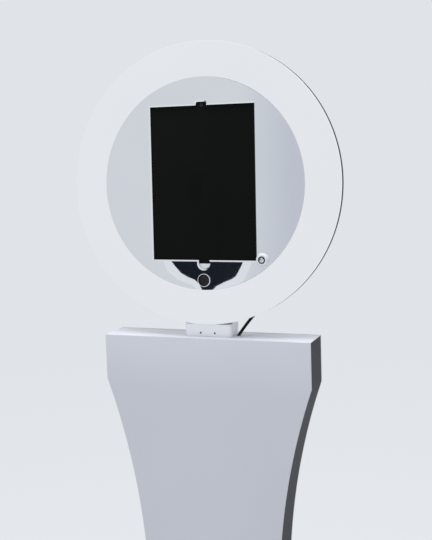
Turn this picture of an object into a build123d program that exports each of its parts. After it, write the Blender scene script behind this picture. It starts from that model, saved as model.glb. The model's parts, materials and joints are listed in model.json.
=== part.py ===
from build123d import *
import os
from math import cos, pi, radians, sin, sqrt, tan

# Photo booth: a ring light with a mirror face and a tablet behind it, leaning on a flat
# hourglass stand.  Millimetres, +Z up, the user in front at -Y, origin on the floor under
# the middle of the stand.

# ---------------------------------------------------------------- driving dimensions
# Tablet and the window that shows it
tablet_w = 178.5
tablet_h = 247.6
tablet_t = 6.4
tablet_corner = 18.0
tablet_up = 1.9            # centre of the tablet above the centre of the ring
window_cover_w = 9.6       # how much narrower and lower the window is than the tablet
window_cover_h = 11.0
window_up = 1.7
window_bevel = 2.1

# Ring light
ring_out_r = 216.8
ring_in_r = 163.0
diffuser_t = 3.0
diffuser_side = 8.6        # depth of the glowing side wall
ring_edge_r = 2.0
led_count = 60

# Mirror face
mirror_t = 4.0
mirror_gap = 0.3
tab_base_w = 18.0
tab_top_w = 14.6
tab_h = 5.2
notch_r = 8.6
notch_down = 121.8         # centre of the cable notch below the centre of the ring
button_down = 147.7
button_bezel_r = 10.3
button_r = 8.07
lock_x = 95.8
lock_down = 114.9
stud_x = 125.0
stud_up = 70.0
stud_r = 3.0

# Rear shell of the head
shell_t = 2.5
shell_rim = 6.9            # straight rim behind the glowing wall
shell_depth = 38.0
shell_taper = 20.8         # how much smaller the flat back is than the ring
service_r = 75.0
cover_r = 84.0
cover_t = 2.0

# Stand
stand_top = 1000.0
top_half_w = 170.1
stand_depth = 63.0
shoulder_h = 72.2
waist_half_w = 111.7
waist_below_top = 421.0
plinth_h = 60.0
panel_t = 3.0
flange_w = 14.0
flange_t = 2.0
lid_rim_t = 1.0            # thin rim of the lid that covers the ends of the sides
foot_h = 10.0
foot_r = 18.0
base_w = 400.0
base_d = 320.0
base_t = 8.0
bottom_plate_t = 5.0
mount_plate_t = 5.0
door_w = 170.0
door_h = 420.0
door_z = 590.0
door_gap = 1.0

# Joint between stand and head
head_lean = 2.13           # degrees, top of the head towards the back
ring_gap = 20.45           # between the lid of the stand and the ring
mirror_behind_front = 14.65
bracket_w = 77.0
bracket_front = 17.25      # behind the front of the stand
bracket_depth = 40.0
tilt_down = 150.0          # tilt axis below the centre of the ring, along the mirror
tilt_depth = 58.0          # tilt axis behind the mirror
tilt_bolt_r = 5.0
ear_in = 14.0
ear_out = 24.0
ear_r = 14.5

# Lead from the stand to the head
lead_r = 2.4

# Clearances
run_gap = 0.05             # radial gap of a turning or sliding fit
seat_gap = 0.2             # gap between flat pieces that are put together
part_gap = 0.3             # gap between pieces of two moving bodies

# ---------------------------------------------------------------- derived planes and sizes
stand_bottom = foot_h + base_t
half_depth = stand_depth / 2
core_depth = half_depth - panel_t
face_y = -half_depth + mirror_behind_front
ring_z = stand_top + ring_gap + ring_out_r
window_w = tablet_w - window_cover_w
window_h = tablet_h - window_cover_h
shell_back_r = ring_out_r - shell_taper
lean = radians(head_lean)
face_plane = Plane(
    origin=(0, face_y, ring_z), x_dir=(1, 0, 0), z_dir=(0, -cos(lean), sin(lean))
)
ring_axis = Axis(face_plane.origin, face_plane.z_dir)
ring_section = Plane(
    origin=face_plane.origin, x_dir=(1, 0, 0), z_dir=-face_plane.y_dir
)


def behind(depth):
    """Plane parallel to the mirror, this far behind its front."""
    return face_plane.offset(-depth)


def facing_front(y):
    """Upright plane at this y, seen from the front."""
    return Plane.XZ.offset(-y)


def facing_right(x):
    """Upright plane at this x: local x is y, local y is z."""
    return Plane.YZ.offset(x)


def head_point(x, up, depth):
    """Point of the head in the frame of the whole booth."""
    return face_plane.from_local_coords((x, up, -depth))


def save(part, label):
    part.label = label
    export_step(part, f"parts/{label}.step")


os.makedirs("parts", exist_ok=True)

# ================================================================ RING LIGHT
# Opal cover: a flat glowing ring with a short glowing side wall.
with BuildPart() as light_diffuser:
    with BuildSketch(ring_section) as diffuser_profile:
        with BuildLine():
            Polyline(
                (ring_in_r, 0),
                (ring_out_r, 0),
                (ring_out_r, -diffuser_side),
                (ring_out_r - diffuser_t, -diffuser_side),
                (ring_out_r - diffuser_t, -diffuser_t),
                (ring_in_r, -diffuser_t),
                close=True,
            )
        make_face()
        outer_front = diffuser_profile.vertices().sort_by(Axis.X)[-2:].sort_by(Axis.Y)[0]
        fillet(outer_front, ring_edge_r)
    revolve(axis=ring_axis)
save(light_diffuser.part, "light_diffuser")

# Channel under the cover: the inner wall, a ledge for the mirror and the floor for the lamps.
channel_wall = 2.0
channel_gap = 0.4
channel_in_r = ring_in_r + channel_gap
ledge_r = 160.0
ledge_t = 2.0
ledge_depth = mirror_t + seat_gap
floor_depth = 22.0
floor_t = 2.0
floor_inset = 12.8
floor_r = ring_out_r - floor_inset
floor_back = floor_depth + floor_t
with BuildPart() as light_channel:
    with BuildSketch(ring_section):
        with BuildLine():
            Polyline(
                (channel_in_r, -diffuser_t),
                (channel_in_r + channel_wall, -diffuser_t),
                (channel_in_r + channel_wall, -floor_depth),
                (floor_r, -floor_depth),
                (floor_r, -floor_back),
                (channel_in_r, -floor_back),
                (channel_in_r, -ledge_depth - ledge_t),
                (ledge_r, -ledge_depth - ledge_t),
                (ledge_r, -ledge_depth),
                (channel_in_r, -ledge_depth),
                close=True,
            )
        make_face()
    revolve(axis=ring_axis)
save(light_channel.part, "light_channel")

# Ring-shaped lamp board and its lamps
board_t = 1.6
board_in_r = 171.0
board_out_r = floor_r - 2.0
board_front = floor_depth - board_t
led_size = 5.0
led_t = 1.0
led_circle_r = (board_in_r + board_out_r) / 2
with BuildPart() as led_board:
    with BuildSketch(behind(floor_depth)):
        Circle(board_out_r)
        Circle(board_in_r, mode=Mode.SUBTRACT)
    extrude(amount=board_t)
save(led_board.part, "led_board")

with BuildPart() as leds:
    with BuildSketch(behind(board_front)):
        with PolarLocations(led_circle_r, led_count):
            Rectangle(led_size, led_size)
    extrude(amount=led_t)
save(leds.part, "leds")

# ================================================================ REAR SHELL
shell_rim_back = diffuser_side + shell_rim
shell_inside = shell_depth - shell_t
shell_round = 6.0
spacer_circle_r = 180.0
spacer_r = 4.0
spacer_count = 6
screw_r = 1.5
screw_hole_r = screw_r + seat_gap
dimmer_x = 70.0
dimmer_down = 110.0
dimmer_shaft_r = 3.0
gland_x = 95.0
gland_down = 150.0
gland_clear = 1.6          # between the lead and the bore of its gland
gland_hole_r = lead_r + gland_clear
lug_base_w = 45.0
lug_base_h = 46.0
lug_bolt_x = 18.0
lug_bolt_up = 16.0
lug_bolt_r = 2.5
lug_bolt_head_r = 4.0
cover_screw_r = 79.5
cover_screw_count = 6

with BuildPart() as rear_shell:
    with BuildSketch(ring_section) as shell_profile:
        with BuildLine():
            Polyline(
                (ring_out_r, -diffuser_side),
                (ring_out_r, -shell_rim_back),
                (shell_back_r, -shell_depth),
                (service_r, -shell_depth),
                (service_r, -shell_inside),
                (shell_back_r - shell_t * 0.6, -shell_inside),
                (ring_out_r - shell_t, -shell_rim_back + shell_t * 0.4),
                (ring_out_r - shell_t, -diffuser_side),
                close=True,
            )
        make_face()
    revolve(axis=ring_axis)
    # rounded back edge
    back_edges = rear_shell.edges().filter_by(GeomType.CIRCLE)
    fillet([e for e in back_edges if abs(e.radius - shell_back_r) < 0.01], shell_round)
    # holes through the back: spacers, service cover, dimmer, lead and tilt lug
    with BuildSketch(behind(shell_depth)):
        with PolarLocations(spacer_circle_r, spacer_count, start_angle=30):
            Circle(screw_hole_r)
        with PolarLocations(cover_screw_r, cover_screw_count):
            Circle(screw_hole_r)
        with Locations((dimmer_x, -dimmer_down)):
            Circle(dimmer_shaft_r + part_gap)
        with Locations((gland_x, -gland_down)):
            Circle(gland_hole_r + run_gap)
        with Locations((0, -tilt_down)):
            with GridLocations(2 * lug_bolt_x, 2 * lug_bolt_up, 2, 2):
                Circle(lug_bolt_r + run_gap)
    extrude(amount=shell_t, mode=Mode.SUBTRACT)
save(rear_shell.part, "rear_shell")

screw_head_r = 3.0
screw_head_t = 1.8
spacer_length = shell_inside - floor_back

# Service cover on the back with cooling slots
slot_w = 4.0
slot_pitch = 11.0
slot_rows = 7
slot_span = 90.0
with BuildPart() as service_cover:
    with BuildSketch(behind(shell_depth + cover_t)):
        Circle(cover_r)
        with PolarLocations(cover_screw_r, cover_screw_count):
            Circle(screw_hole_r, mode=Mode.SUBTRACT)
        with GridLocations(0, slot_pitch, 1, slot_rows):
            SlotOverall(slot_span, slot_w, mode=Mode.SUBTRACT)
    extrude(amount=cover_t)
    fillet(service_cover.edges().filter_by(lambda e: abs(e.length - 2 * pi * cover_r) < 0.1)
           .sort_by(ring_axis)[0], 1.0)
save(service_cover.part, "service_cover")

# Screws on the back: six hold the spacers of the lamp channel, six the service cover
back_screw_rings = (
    (spacer_circle_r, 30, shell_depth, shell_t + spacer_length - 1),
    (cover_screw_r, 0, shell_depth + cover_t, cover_t + shell_t + 1),
)
with BuildPart() as back_screws:
    for circle_r, first_angle, seat, length in back_screw_rings:
        with BuildSketch(behind(seat + screw_head_t)):
            with PolarLocations(circle_r, 6, start_angle=first_angle):
                Circle(screw_head_r)
        extrude(amount=screw_head_t)
        with BuildSketch(behind(seat)):
            with PolarLocations(circle_r, 6, start_angle=first_angle):
                Circle(screw_r)
        extrude(amount=length)
    head_rims = back_screws.edges().filter_by(GeomType.CIRCLE)
    fillet([e for e in head_rims if abs(e.radius - screw_head_r) < 0.01
            and (e.center() - face_plane.origin).dot(face_plane.z_dir) < -shell_depth - 1], 0.6)
save(back_screws.part, "back_screws")

# ================================================================ TABLET AND ITS TRAY
glass_front = mirror_t + 0.4
glass_t = 1.0
tablet_back = glass_front + tablet_t
pad_t = 1.4
tray_front = tablet_back + pad_t
tray_t = 3.0
tray_back = tray_front + tray_t
tray_w = 160.0
tray_above_below = 27.6    # how much lower the tray is than the tablet
tray_h = tablet_h - tray_above_below
tablet_bottom = tablet_up - tablet_h / 2
tablet_top = tablet_up + tablet_h / 2

with BuildPart() as tablet_body:
    with BuildSketch(behind(tablet_back)):
        with Locations((0, tablet_up)):
            RectangleRounded(tablet_w, tablet_h, tablet_corner)
    extrude(amount=tablet_t - glass_t)
    fillet(tablet_body.faces().sort_by(ring_axis)[0].edges(), 1.5)
save(tablet_body.part, "tablet_body")

with BuildPart() as tablet_glass:
    with BuildSketch(behind(glass_front + glass_t)):
        with Locations((0, tablet_up)):
            RectangleRounded(tablet_w, tablet_h, tablet_corner)
    extrude(amount=glass_t)
save(tablet_glass.part, "tablet_glass")

# Tray: a plate behind the tablet, a ledge under it and a fence on each side
tray_ledge_w = 152.0       # wide enough for the lock's cam to hook behind it
tray_ledge_h = 9.7
tray_lip_depth = glass_front + seat_gap
fence_h = 100.0
fence_t = 3.0
fence_front = glass_front + 2.0
fence_x = tablet_w / 2 + part_gap + fence_t / 2
tray_post_x = 62.0
tray_post_up = 90.0
jaw_screw_r = 1.9
jaw_screw_ups = (80.0, 98.0)
ledge_top = tablet_bottom - part_gap
with BuildPart() as tablet_tray:
    with BuildSketch(behind(tray_back)):
        with Locations((0, tablet_up)):
            RectangleRounded(tray_w, tray_h, 8)
        with Locations((0, ledge_top - tray_ledge_h / 2 + 10)):
            Rectangle(tray_ledge_w, tray_ledge_h + 20)
        Rectangle(2 * fence_x + fence_t, fence_h)
        with GridLocations(2 * tray_post_x, 2 * tray_post_up, 2, 2):
            Circle(screw_hole_r, mode=Mode.SUBTRACT)
        for up in jaw_screw_ups:
            with Locations((0, up)):
                Circle(jaw_screw_r + run_gap, mode=Mode.SUBTRACT)
    extrude(amount=tray_t)
    with BuildSketch(behind(tray_back)):
        with Locations((0, ledge_top - tray_ledge_h / 2)):
            Rectangle(tray_ledge_w, tray_ledge_h)
    extrude(amount=tray_back - tray_lip_depth)
    with BuildSketch(behind(tray_back)):
        with GridLocations(2 * fence_x, 0, 2, 1):
            Rectangle(fence_t, fence_h)
    extrude(amount=tray_back - fence_front)
save(tablet_tray.part, "tablet_tray")

pad_x = 60.0
pad_up = 40.0
pad_size = 20.0
pad_corner = 3.0
with BuildPart() as tray_pads:
    with BuildSketch(behind(tray_front)):
        with Locations((0, tablet_up)):
            with GridLocations(2 * pad_x, 2 * pad_up, 2, 2):
                RectangleRounded(pad_size, pad_size, pad_corner)
    extrude(amount=pad_t)
save(tray_pads.part, "tray_pads")

# Standoffs on the inside of the shell: six under the lamp channel, four under the tray
tray_post_r = 5.0
tray_screw_length = 10.0
with BuildPart() as standoffs:
    with BuildSketch(behind(shell_inside)):
        with PolarLocations(spacer_circle_r, spacer_count, start_angle=30):
            Circle(spacer_r)
            Circle(screw_r + run_gap, mode=Mode.SUBTRACT)
    extrude(amount=spacer_length)
    with BuildSketch(behind(shell_inside)):
        with GridLocations(2 * tray_post_x, 2 * tray_post_up, 2, 2):
            Circle(tray_post_r)
    extrude(amount=shell_inside - tray_back)
    with BuildSketch(behind(tray_back + tray_screw_length)):
        with GridLocations(2 * tray_post_x, 2 * tray_post_up, 2, 2):
            Circle(screw_hole_r)
    extrude(amount=tray_screw_length, mode=Mode.SUBTRACT)
save(standoffs.part, "standoffs")

# Jaw that slides down on the top edge of the tablet and is held by two slotted screws
jaw_travel = 12.0
jaw_w = 60.0
jaw_hook_h = 8.0
jaw_tongue_w = 36.0
jaw_t = 2.0
jaw_front = glass_front + 0.4
jaw_back = tray_back + seat_gap + jaw_t
jaw_bottom = tablet_top + part_gap
jaw_tongue_bottom = 60.0
jaw_slot_r = jaw_screw_r + part_gap
with BuildPart() as top_jaw:
    with BuildSketch(behind(jaw_back)):
        with Locations((0, jaw_bottom + jaw_hook_h / 2)):
            RectangleRounded(jaw_w, jaw_hook_h, 1.5)
    extrude(amount=jaw_back - jaw_front)
    with BuildSketch(behind(jaw_back)):
        with Locations((0, (jaw_bottom + 2 + jaw_tongue_bottom) / 2)):
            Rectangle(jaw_tongue_w, jaw_bottom + 2 - jaw_tongue_bottom)
    extrude(amount=jaw_t)
    with BuildSketch(behind(jaw_back)):
        for up in jaw_screw_ups:
            with Locations((0, up - jaw_travel / 2)):
                SlotCenterToCenter(jaw_travel, 2 * jaw_slot_r, rotation=90)
    extrude(amount=jaw_t, mode=Mode.SUBTRACT)
save(top_jaw.part, "top_jaw")

# Screws of the tray: four fix it to its standoffs, two guide the jaw
jaw_screw_head_r = 4.0
jaw_screw_head_t = 2.0
with BuildPart() as tray_screws:
    with BuildSketch(behind(tray_front)):
        with GridLocations(2 * tray_post_x, 2 * tray_post_up, 2, 2):
            Circle(screw_head_r)
    extrude(amount=1)
    with BuildSketch(behind(tray_back + tray_screw_length - 1)):
        with GridLocations(2 * tray_post_x, 2 * tray_post_up, 2, 2):
            Circle(screw_r)
    extrude(amount=tray_t + tray_screw_length - 1)
    with BuildSketch(behind(jaw_back + seat_gap + jaw_screw_head_t)):
        for up in jaw_screw_ups:
            with Locations((0, up)):
                Circle(jaw_screw_head_r)
    extrude(amount=jaw_screw_head_t)
    with BuildSketch(behind(jaw_back + seat_gap)):
        for up in jaw_screw_ups:
            with Locations((0, up)):
                Circle(jaw_screw_r)
    extrude(amount=jaw_back + seat_gap - tray_front - 0.2)
save(tray_screws.part, "tray_screws")

# ================================================================ MIRROR FACE
lock_barrel_r = 7.6
with BuildPart() as mirror_panel:
    with BuildSketch(behind(mirror_t)):
        Circle(ring_in_r - mirror_gap)
        with BuildSketch(mode=Mode.PRIVATE) as camera_tab:
            tab_bottom = window_up + window_h / 2 - 1
            tab_top = window_up + window_h / 2 + tab_h
            with BuildLine():
                Polyline(
                    (-tab_base_w / 2, tab_bottom),
                    (tab_base_w / 2, tab_bottom),
                    (tab_top_w / 2, tab_top),
                    (-tab_top_w / 2, tab_top),
                    close=True,
                )
            make_face()
            fillet(camera_tab.vertices().group_by(Axis.Y)[-1], 2)
        with Locations((0, window_up)):
            Rectangle(window_w, window_h, mode=Mode.SUBTRACT)
        add(camera_tab.sketch, mode=Mode.SUBTRACT)
        notch_straight = window_up - window_h / 2 + notch_down
        with Locations((0, -notch_down)):
            Circle(notch_r, mode=Mode.SUBTRACT)
            with Locations((0, notch_straight / 2)):
                Rectangle(2 * notch_r, notch_straight + 1, mode=Mode.SUBTRACT)
    extrude(amount=mirror_t)
    mirror_front = mirror_panel.faces().filter_by(ring_axis).sort_by(ring_axis)[-1]
    chamfer(mirror_front.inner_wires()[0].edges(), window_bevel)
    with BuildSketch(behind(mirror_t)):
        with Locations((0, -button_down)):
            Circle(button_r + 0.88)
        with Locations((lock_x, -lock_down)):
            Circle(lock_barrel_r + run_gap)
    extrude(amount=mirror_t, mode=Mode.SUBTRACT)
save(mirror_panel.part, "mirror_panel")

# Studs on the back of the mirror and the sockets they push into
socket_r = 6.0
socket_front = mirror_t + 2.0
stud_length = 12.0
with BuildPart() as face_studs:
    with BuildSketch(behind(mirror_t + stud_length)):
        with GridLocations(2 * stud_x, 2 * stud_up, 2, 2):
            Circle(stud_r)
    extrude(amount=stud_length)
    stud_tips = face_studs.faces().filter_by(ring_axis).group_by(ring_axis)[0]
    chamfer(stud_tips.edges(), 0.8)
save(face_studs.part, "face_studs")

with BuildPart() as stud_sockets:
    with BuildSketch(behind(shell_inside)):
        with GridLocations(2 * stud_x, 2 * stud_up, 2, 2):
            Circle(socket_r)
    extrude(amount=shell_inside - socket_front)
    with BuildSketch(behind(mirror_t + stud_length + 2)):
        with GridLocations(2 * stud_x, 2 * stud_up, 2, 2):
            Circle(stud_r + run_gap)
    extrude(amount=stud_length, mode=Mode.SUBTRACT)
save(stud_sockets.part, "stud_sockets")

# ---------------------------------------------------------------- tubular lock in the mirror
lock_at = Location((lock_x, -lock_down))
lock_front = -6.2          # the lock stands out in front of the mirror
lock_back = 17.0
lock_bore_r = 5.4
lock_lip_r = 6.1
lock_lip_back = -5.0
lock_post_r = 3.9
lock_cam_gap = 0.3
lock_cam_t = 2.0
collar_base_r = 10.6
collar_front_r = 8.0
with BuildPart() as lock_collar:
    with BuildSketch(behind(0)):
        with Locations(lock_at):
            Circle(collar_base_r)
    with BuildSketch(behind(lock_front + 0.2)):
        with Locations(lock_at):
            Circle(collar_front_r)
    loft()
    with BuildSketch(behind(0)):
        with Locations(lock_at):
            Circle(lock_barrel_r + run_gap)
    extrude(amount=-lock_lip_back, mode=Mode.SUBTRACT)
    with BuildSketch(behind(0)):
        with Locations(lock_at):
            Circle(lock_lip_r + run_gap)
    extrude(amount=-lock_front, mode=Mode.SUBTRACT)
save(lock_collar.part, "lock_collar")

with BuildPart() as lock_barrel:
    with BuildSketch(behind(lock_back)):
        with Locations(lock_at):
            Circle(lock_barrel_r)
    extrude(amount=lock_back - lock_lip_back)
    with BuildSketch(behind(lock_lip_back)):
        with Locations(lock_at):
            Circle(lock_lip_r)
    extrude(amount=lock_lip_back - lock_front)
    with BuildSketch(behind(lock_back)):
        with Locations(lock_at):
            Circle(lock_bore_r)
    extrude(amount=lock_back - lock_front, mode=Mode.SUBTRACT)
save(lock_barrel.part, "lock_barrel")

lock_ring_r = 8.5
lock_ring_t = 1.5
with BuildPart() as lock_ring:
    with BuildSketch(behind(mirror_t + lock_ring_t)):
        with Locations(lock_at):
            Circle(lock_ring_r)
            Circle(lock_barrel_r + run_gap, mode=Mode.SUBTRACT)
    extrude(amount=lock_ring_t)
save(lock_ring.part, "lock_ring")

# Turning core: a post at the bottom of a round key slot, with a small drive notch
lock_slot_depth = 6.5
lock_tail_r = 3.0
lock_notch_w = 2.4
lock_notch_h = 1.6
with BuildPart() as lock_core:
    with BuildSketch(behind(lock_back)):
        with Locations(lock_at):
            Circle(lock_bore_r - run_gap)
    extrude(amount=lock_back - lock_front - lock_slot_depth)
    with BuildSketch(behind(lock_front + lock_slot_depth)):
        with Locations(lock_at):
            Circle(lock_post_r)
    extrude(amount=lock_slot_depth - 0.2)
    with BuildSketch(behind(lock_back + lock_cam_gap + lock_cam_t + 1)):
        with Locations(lock_at):
            Rectangle(lock_tail_r * 2, lock_tail_r * 1.4)
    extrude(amount=lock_cam_gap + lock_cam_t + 1)
    with BuildSketch(behind(lock_front + 0.2)):
        with Locations(lock_at):
            with Locations(Location((0, 0), 45)):
                with Locations((lock_post_r, 0)):
                    Rectangle(lock_notch_w, lock_notch_h)
    extrude(amount=-lock_slot_depth + 1, mode=Mode.SUBTRACT)
save(lock_core.part, "lock_core")

cam_length = 25.0
cam_w = 9.0
with BuildPart() as lock_cam:
    with BuildSketch(behind(lock_back + lock_cam_gap + lock_cam_t)):
        with Locations(lock_at):
            Circle(cam_w / 2)
            with Locations((0, cam_length / 2)):
                Rectangle(cam_w, cam_length)
            Rectangle(lock_tail_r * 2, lock_tail_r * 1.4, mode=Mode.SUBTRACT)
    extrude(amount=lock_cam_t)
save(lock_cam.part, "lock_cam")

# ---------------------------------------------------------------- push button in the mirror
button_at = Location((0, -button_down))
bezel_t = 1.2
bezel_barrel_r = button_r + 0.83
bezel_back = 12.0
button_recess = 0.8
button_back = 7.0
button_nut_r = 11.0
switch_back = 26.0
with BuildPart() as button_bezel:
    with BuildSketch(behind(0)):
        with Locations(button_at):
            Circle(button_bezel_r)
    extrude(amount=bezel_t)
    with BuildSketch(behind(bezel_back)):
        with Locations(button_at):
            Circle(bezel_barrel_r)
    extrude(amount=bezel_back)
    with BuildSketch(behind(bezel_back)):
        with Locations(button_at):
            Circle(button_r + 0.08)
    extrude(amount=bezel_back + bezel_t, mode=Mode.SUBTRACT)
    bezel_front = button_bezel.faces().filter_by(ring_axis).sort_by(ring_axis)[-1]
    chamfer(bezel_front.inner_wires()[0].edges(), 1.0)
save(button_bezel.part, "button_bezel")

with BuildPart() as button_cap:
    with BuildSketch(behind(button_back)):
        with Locations(button_at):
            Circle(button_r)
    extrude(amount=button_back - button_recess)
    fillet(button_cap.faces().sort_by(ring_axis)[-1].edges(), 0.5)
save(button_cap.part, "button_cap")

button_nut_t = 4.0
with BuildPart() as button_nut:
    with BuildSketch(behind(mirror_t + button_nut_t)):
        with Locations(button_at):
            RegularPolygon(button_nut_r, 6)
            Circle(bezel_barrel_r + run_gap, mode=Mode.SUBTRACT)
    extrude(amount=button_nut_t)
save(button_nut.part, "button_nut")

switch_tab_pitch = 6.0
switch_tab_w = 3.0
switch_tab_t = 0.8
switch_tab_length = 5.0
with BuildPart() as button_switch:
    with BuildSketch(behind(switch_back)):
        with Locations(button_at):
            Circle(bezel_barrel_r)
    extrude(amount=switch_back - bezel_back)
    with BuildSketch(behind(switch_back + switch_tab_length)):
        with Locations(button_at):
            with GridLocations(switch_tab_pitch, 0, 2, 1):
                Rectangle(switch_tab_t, switch_tab_w)
    extrude(amount=switch_tab_length)
save(button_switch.part, "button_switch")

# ================================================================ ELECTRONICS IN THE HEAD
driver_w = 84.0
driver_h = 32.0
driver_t = 13.0
driver_down = 112.0
with BuildPart() as led_driver:
    with BuildSketch(behind(shell_inside)):
        with Locations((0, -driver_down)):
            RectangleRounded(driver_w, driver_h, 3)
    extrude(amount=driver_t)
    fillet(led_driver.faces().sort_by(ring_axis)[-1].edges(), 1.5)
save(led_driver.part, "led_driver")

dimmer_at = Location((dimmer_x, -dimmer_down))
dimmer_body_r = 8.0
dimmer_body_t = 8.0
dimmer_knob_r = 11.0
dimmer_knob_front = shell_depth + 1.0
dimmer_knob_back = shell_depth + 15.0
with BuildPart() as dimmer_body:
    with BuildSketch(behind(shell_inside)):
        with Locations(dimmer_at):
            Circle(dimmer_body_r)
    extrude(amount=dimmer_body_t)
    with BuildSketch(behind(shell_inside)):
        with Locations(dimmer_at):
            Circle(dimmer_shaft_r + run_gap)
    extrude(amount=dimmer_body_t - 2, mode=Mode.SUBTRACT)
save(dimmer_body.part, "dimmer_body")

with BuildPart() as dimmer_knob:
    with BuildSketch(behind(dimmer_knob_back)):
        with Locations(dimmer_at):
            Circle(dimmer_knob_r)
    extrude(amount=dimmer_knob_back - dimmer_knob_front, taper=-3)
    with BuildSketch(behind(dimmer_knob_front)):
        with Locations(dimmer_at):
            Circle(dimmer_shaft_r)
    extrude(amount=dimmer_knob_front - shell_inside + dimmer_body_t - 3)
    fillet(dimmer_knob.faces().sort_by(ring_axis)[0].edges(), 1.0)
    # pointer groove across the knob's edge
    with BuildSketch(behind(dimmer_knob_back)):
        with Locations(dimmer_at):
            with Locations((0, dimmer_knob_r - 4)):
                Rectangle(1.4, 6)
    extrude(amount=0.8, mode=Mode.SUBTRACT)
save(dimmer_knob.part, "dimmer_knob")

# Gland for the lead on the back of the head
gland_at = Location((gland_x, -gland_down))
gland_r = 7.5
gland_hex_t = 6.0
gland_back = shell_depth + 12.0
with BuildPart() as lead_gland:
    with BuildSketch(behind(shell_depth + gland_hex_t)):
        with Locations(gland_at):
            RegularPolygon(gland_r, 6)
    extrude(amount=gland_hex_t)
    with BuildSketch(behind(gland_back)):
        with Locations(gland_at):
            Circle(gland_r * 0.72)
    extrude(amount=gland_back - shell_depth - gland_hex_t, taper=-6)
    with BuildSketch(behind(shell_depth)):
        with Locations(gland_at):
            Circle(gland_hole_r)
    extrude(amount=shell_t + 3)
save(lead_gland.part, "lead_gland")

# ================================================================ TILT JOINT
tilt_point = head_point(0, -tilt_down, tilt_depth)
tilt_y = tilt_point.Y
tilt_z = tilt_point.Z
lug_half_w = 12.5
lug_base_t = 4.0
lug_r = 13.0
washer_gap = 0.1
# Lug on the back of the head
with BuildPart() as tilt_lug:
    with BuildSketch(behind(shell_depth + lug_base_t)):
        with Locations((0, -tilt_down)):
            RectangleRounded(lug_base_w, lug_base_h, 5)
            with GridLocations(2 * lug_bolt_x, 2 * lug_bolt_up, 2, 2):
                Circle(lug_bolt_r + run_gap, mode=Mode.SUBTRACT)
    extrude(amount=lug_base_t)
    lug_side = Plane(
        origin=head_point(-lug_half_w, -tilt_down, tilt_depth),
        x_dir=-face_plane.z_dir,
        z_dir=(1, 0, 0),
    )
    arm_length = tilt_depth - shell_depth - lug_base_t
    with BuildSketch(lug_side):
        Circle(lug_r)
        with Locations((-arm_length / 2, 0)):
            Rectangle(arm_length, 2 * lug_r)
    extrude(amount=2 * lug_half_w)
    with BuildSketch(lug_side):
        Circle(tilt_bolt_r + run_gap)
    extrude(amount=2 * lug_half_w, mode=Mode.SUBTRACT)
save(tilt_lug.part, "tilt_lug")

lug_bolt_head_t = 2.5
lug_bolt_key_r = 1.9
with BuildPart() as lug_bolts:
    with BuildSketch(behind(shell_depth + lug_base_t + lug_bolt_head_t)):
        with Locations((0, -tilt_down)):
            with GridLocations(2 * lug_bolt_x, 2 * lug_bolt_up, 2, 2):
                Circle(lug_bolt_head_r)
                RegularPolygon(lug_bolt_key_r, 6, mode=Mode.SUBTRACT)
    extrude(amount=lug_bolt_head_t)
    with BuildSketch(behind(shell_depth + lug_base_t)):
        with Locations((0, -tilt_down)):
            with GridLocations(2 * lug_bolt_x, 2 * lug_bolt_up, 2, 2):
                Circle(lug_bolt_r)
    extrude(amount=lug_base_t + shell_t + 3)
save(lug_bolts.part, "lug_bolts")

# White bracket: a block on the stand that reaches up behind the ring as two ears
bracket_y = -half_depth + bracket_front
bracket_back_y = bracket_y + bracket_depth
block_front_h = 19.4
block_back_h = 36.0
arm_front_y = tilt_y - 11.5
arm_back_y = tilt_y + ear_r
tongue_w = 36.0
tongue_t = 8.0
tongue_h = 13.0
tongue_y = bracket_y + 9.2
neck_screw_x = 11.8
neck_screw_z = stand_top + 5.2
neck_bolt_x = 15.0
neck_bolt_y = bracket_back_y - 4.0
neck_bolt_r = 3.0
with BuildPart() as bracket:
    with BuildSketch(facing_right(-bracket_w / 2)):
        with BuildLine():
            Polyline(
                (bracket_y, stand_top),
                (bracket_y, stand_top + block_front_h),
                (bracket_y + 6, stand_top + block_front_h),
                (bracket_back_y, stand_top + block_back_h - 3),
                (bracket_back_y, stand_top),
                close=True,
            )
        make_face()
    extrude(amount=bracket_w)
    fillet(bracket.edges().filter_by(Axis.Z), 6)
    with BuildSketch(facing_right(-ear_out)):
        with BuildLine():
            Polyline(
                (bracket_back_y - 12, stand_top),
                (bracket_back_y - 12, stand_top + 20),
                (bracket_back_y, stand_top + block_back_h - 5),
                (arm_front_y, stand_top + 52),
                (arm_front_y, tilt_z),
                (arm_back_y, tilt_z),
                (arm_back_y, stand_top + 40),
                (half_depth - 1, stand_top + 12),
                (half_depth - 1, stand_top),
                close=True,
            )
        make_face()
        with Locations((tilt_y, tilt_z)):
            Circle(ear_r)
    extrude(amount=2 * ear_out)
    # slot between the ears for the lug, and the bore for the tilt bolt
    with BuildSketch(facing_right(-ear_in)):
        with Locations((tilt_y, tilt_z)):
            Circle(lug_r + 3)
            with Locations((-10, 10)):
                Rectangle(60, 30)
            with Locations((-20, -4)):
                Rectangle(40, 24)
    extrude(amount=2 * ear_in, mode=Mode.SUBTRACT)
    with BuildSketch(facing_right(-ear_out)):
        with Locations((tilt_y, tilt_z)):
            Circle(tilt_bolt_r + run_gap)
    extrude(amount=2 * ear_out, mode=Mode.SUBTRACT)
    # socket for the steel tongue, its two grub screws and the bolts from below
    with BuildSketch(Plane.XY.offset(stand_top)):
        with Locations((0, tongue_y)):
            Rectangle(tongue_w + 2 * seat_gap, tongue_t + 2 * seat_gap)
    extrude(amount=tongue_h + seat_gap, mode=Mode.SUBTRACT)
    with BuildSketch(facing_front(tongue_y)):
        with Locations((0, neck_screw_z)):
            with GridLocations(2 * neck_screw_x, 0, 2, 1):
                Circle(screw_r + run_gap)
    extrude(amount=tongue_y - bracket_y, mode=Mode.SUBTRACT)
    with BuildSketch(Plane.XY.offset(stand_top)):
        with Locations((0, neck_bolt_y)):
            with GridLocations(2 * neck_bolt_x, 0, 2, 1):
                Circle(neck_bolt_r + run_gap)
    extrude(amount=15, mode=Mode.SUBTRACT)
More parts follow.
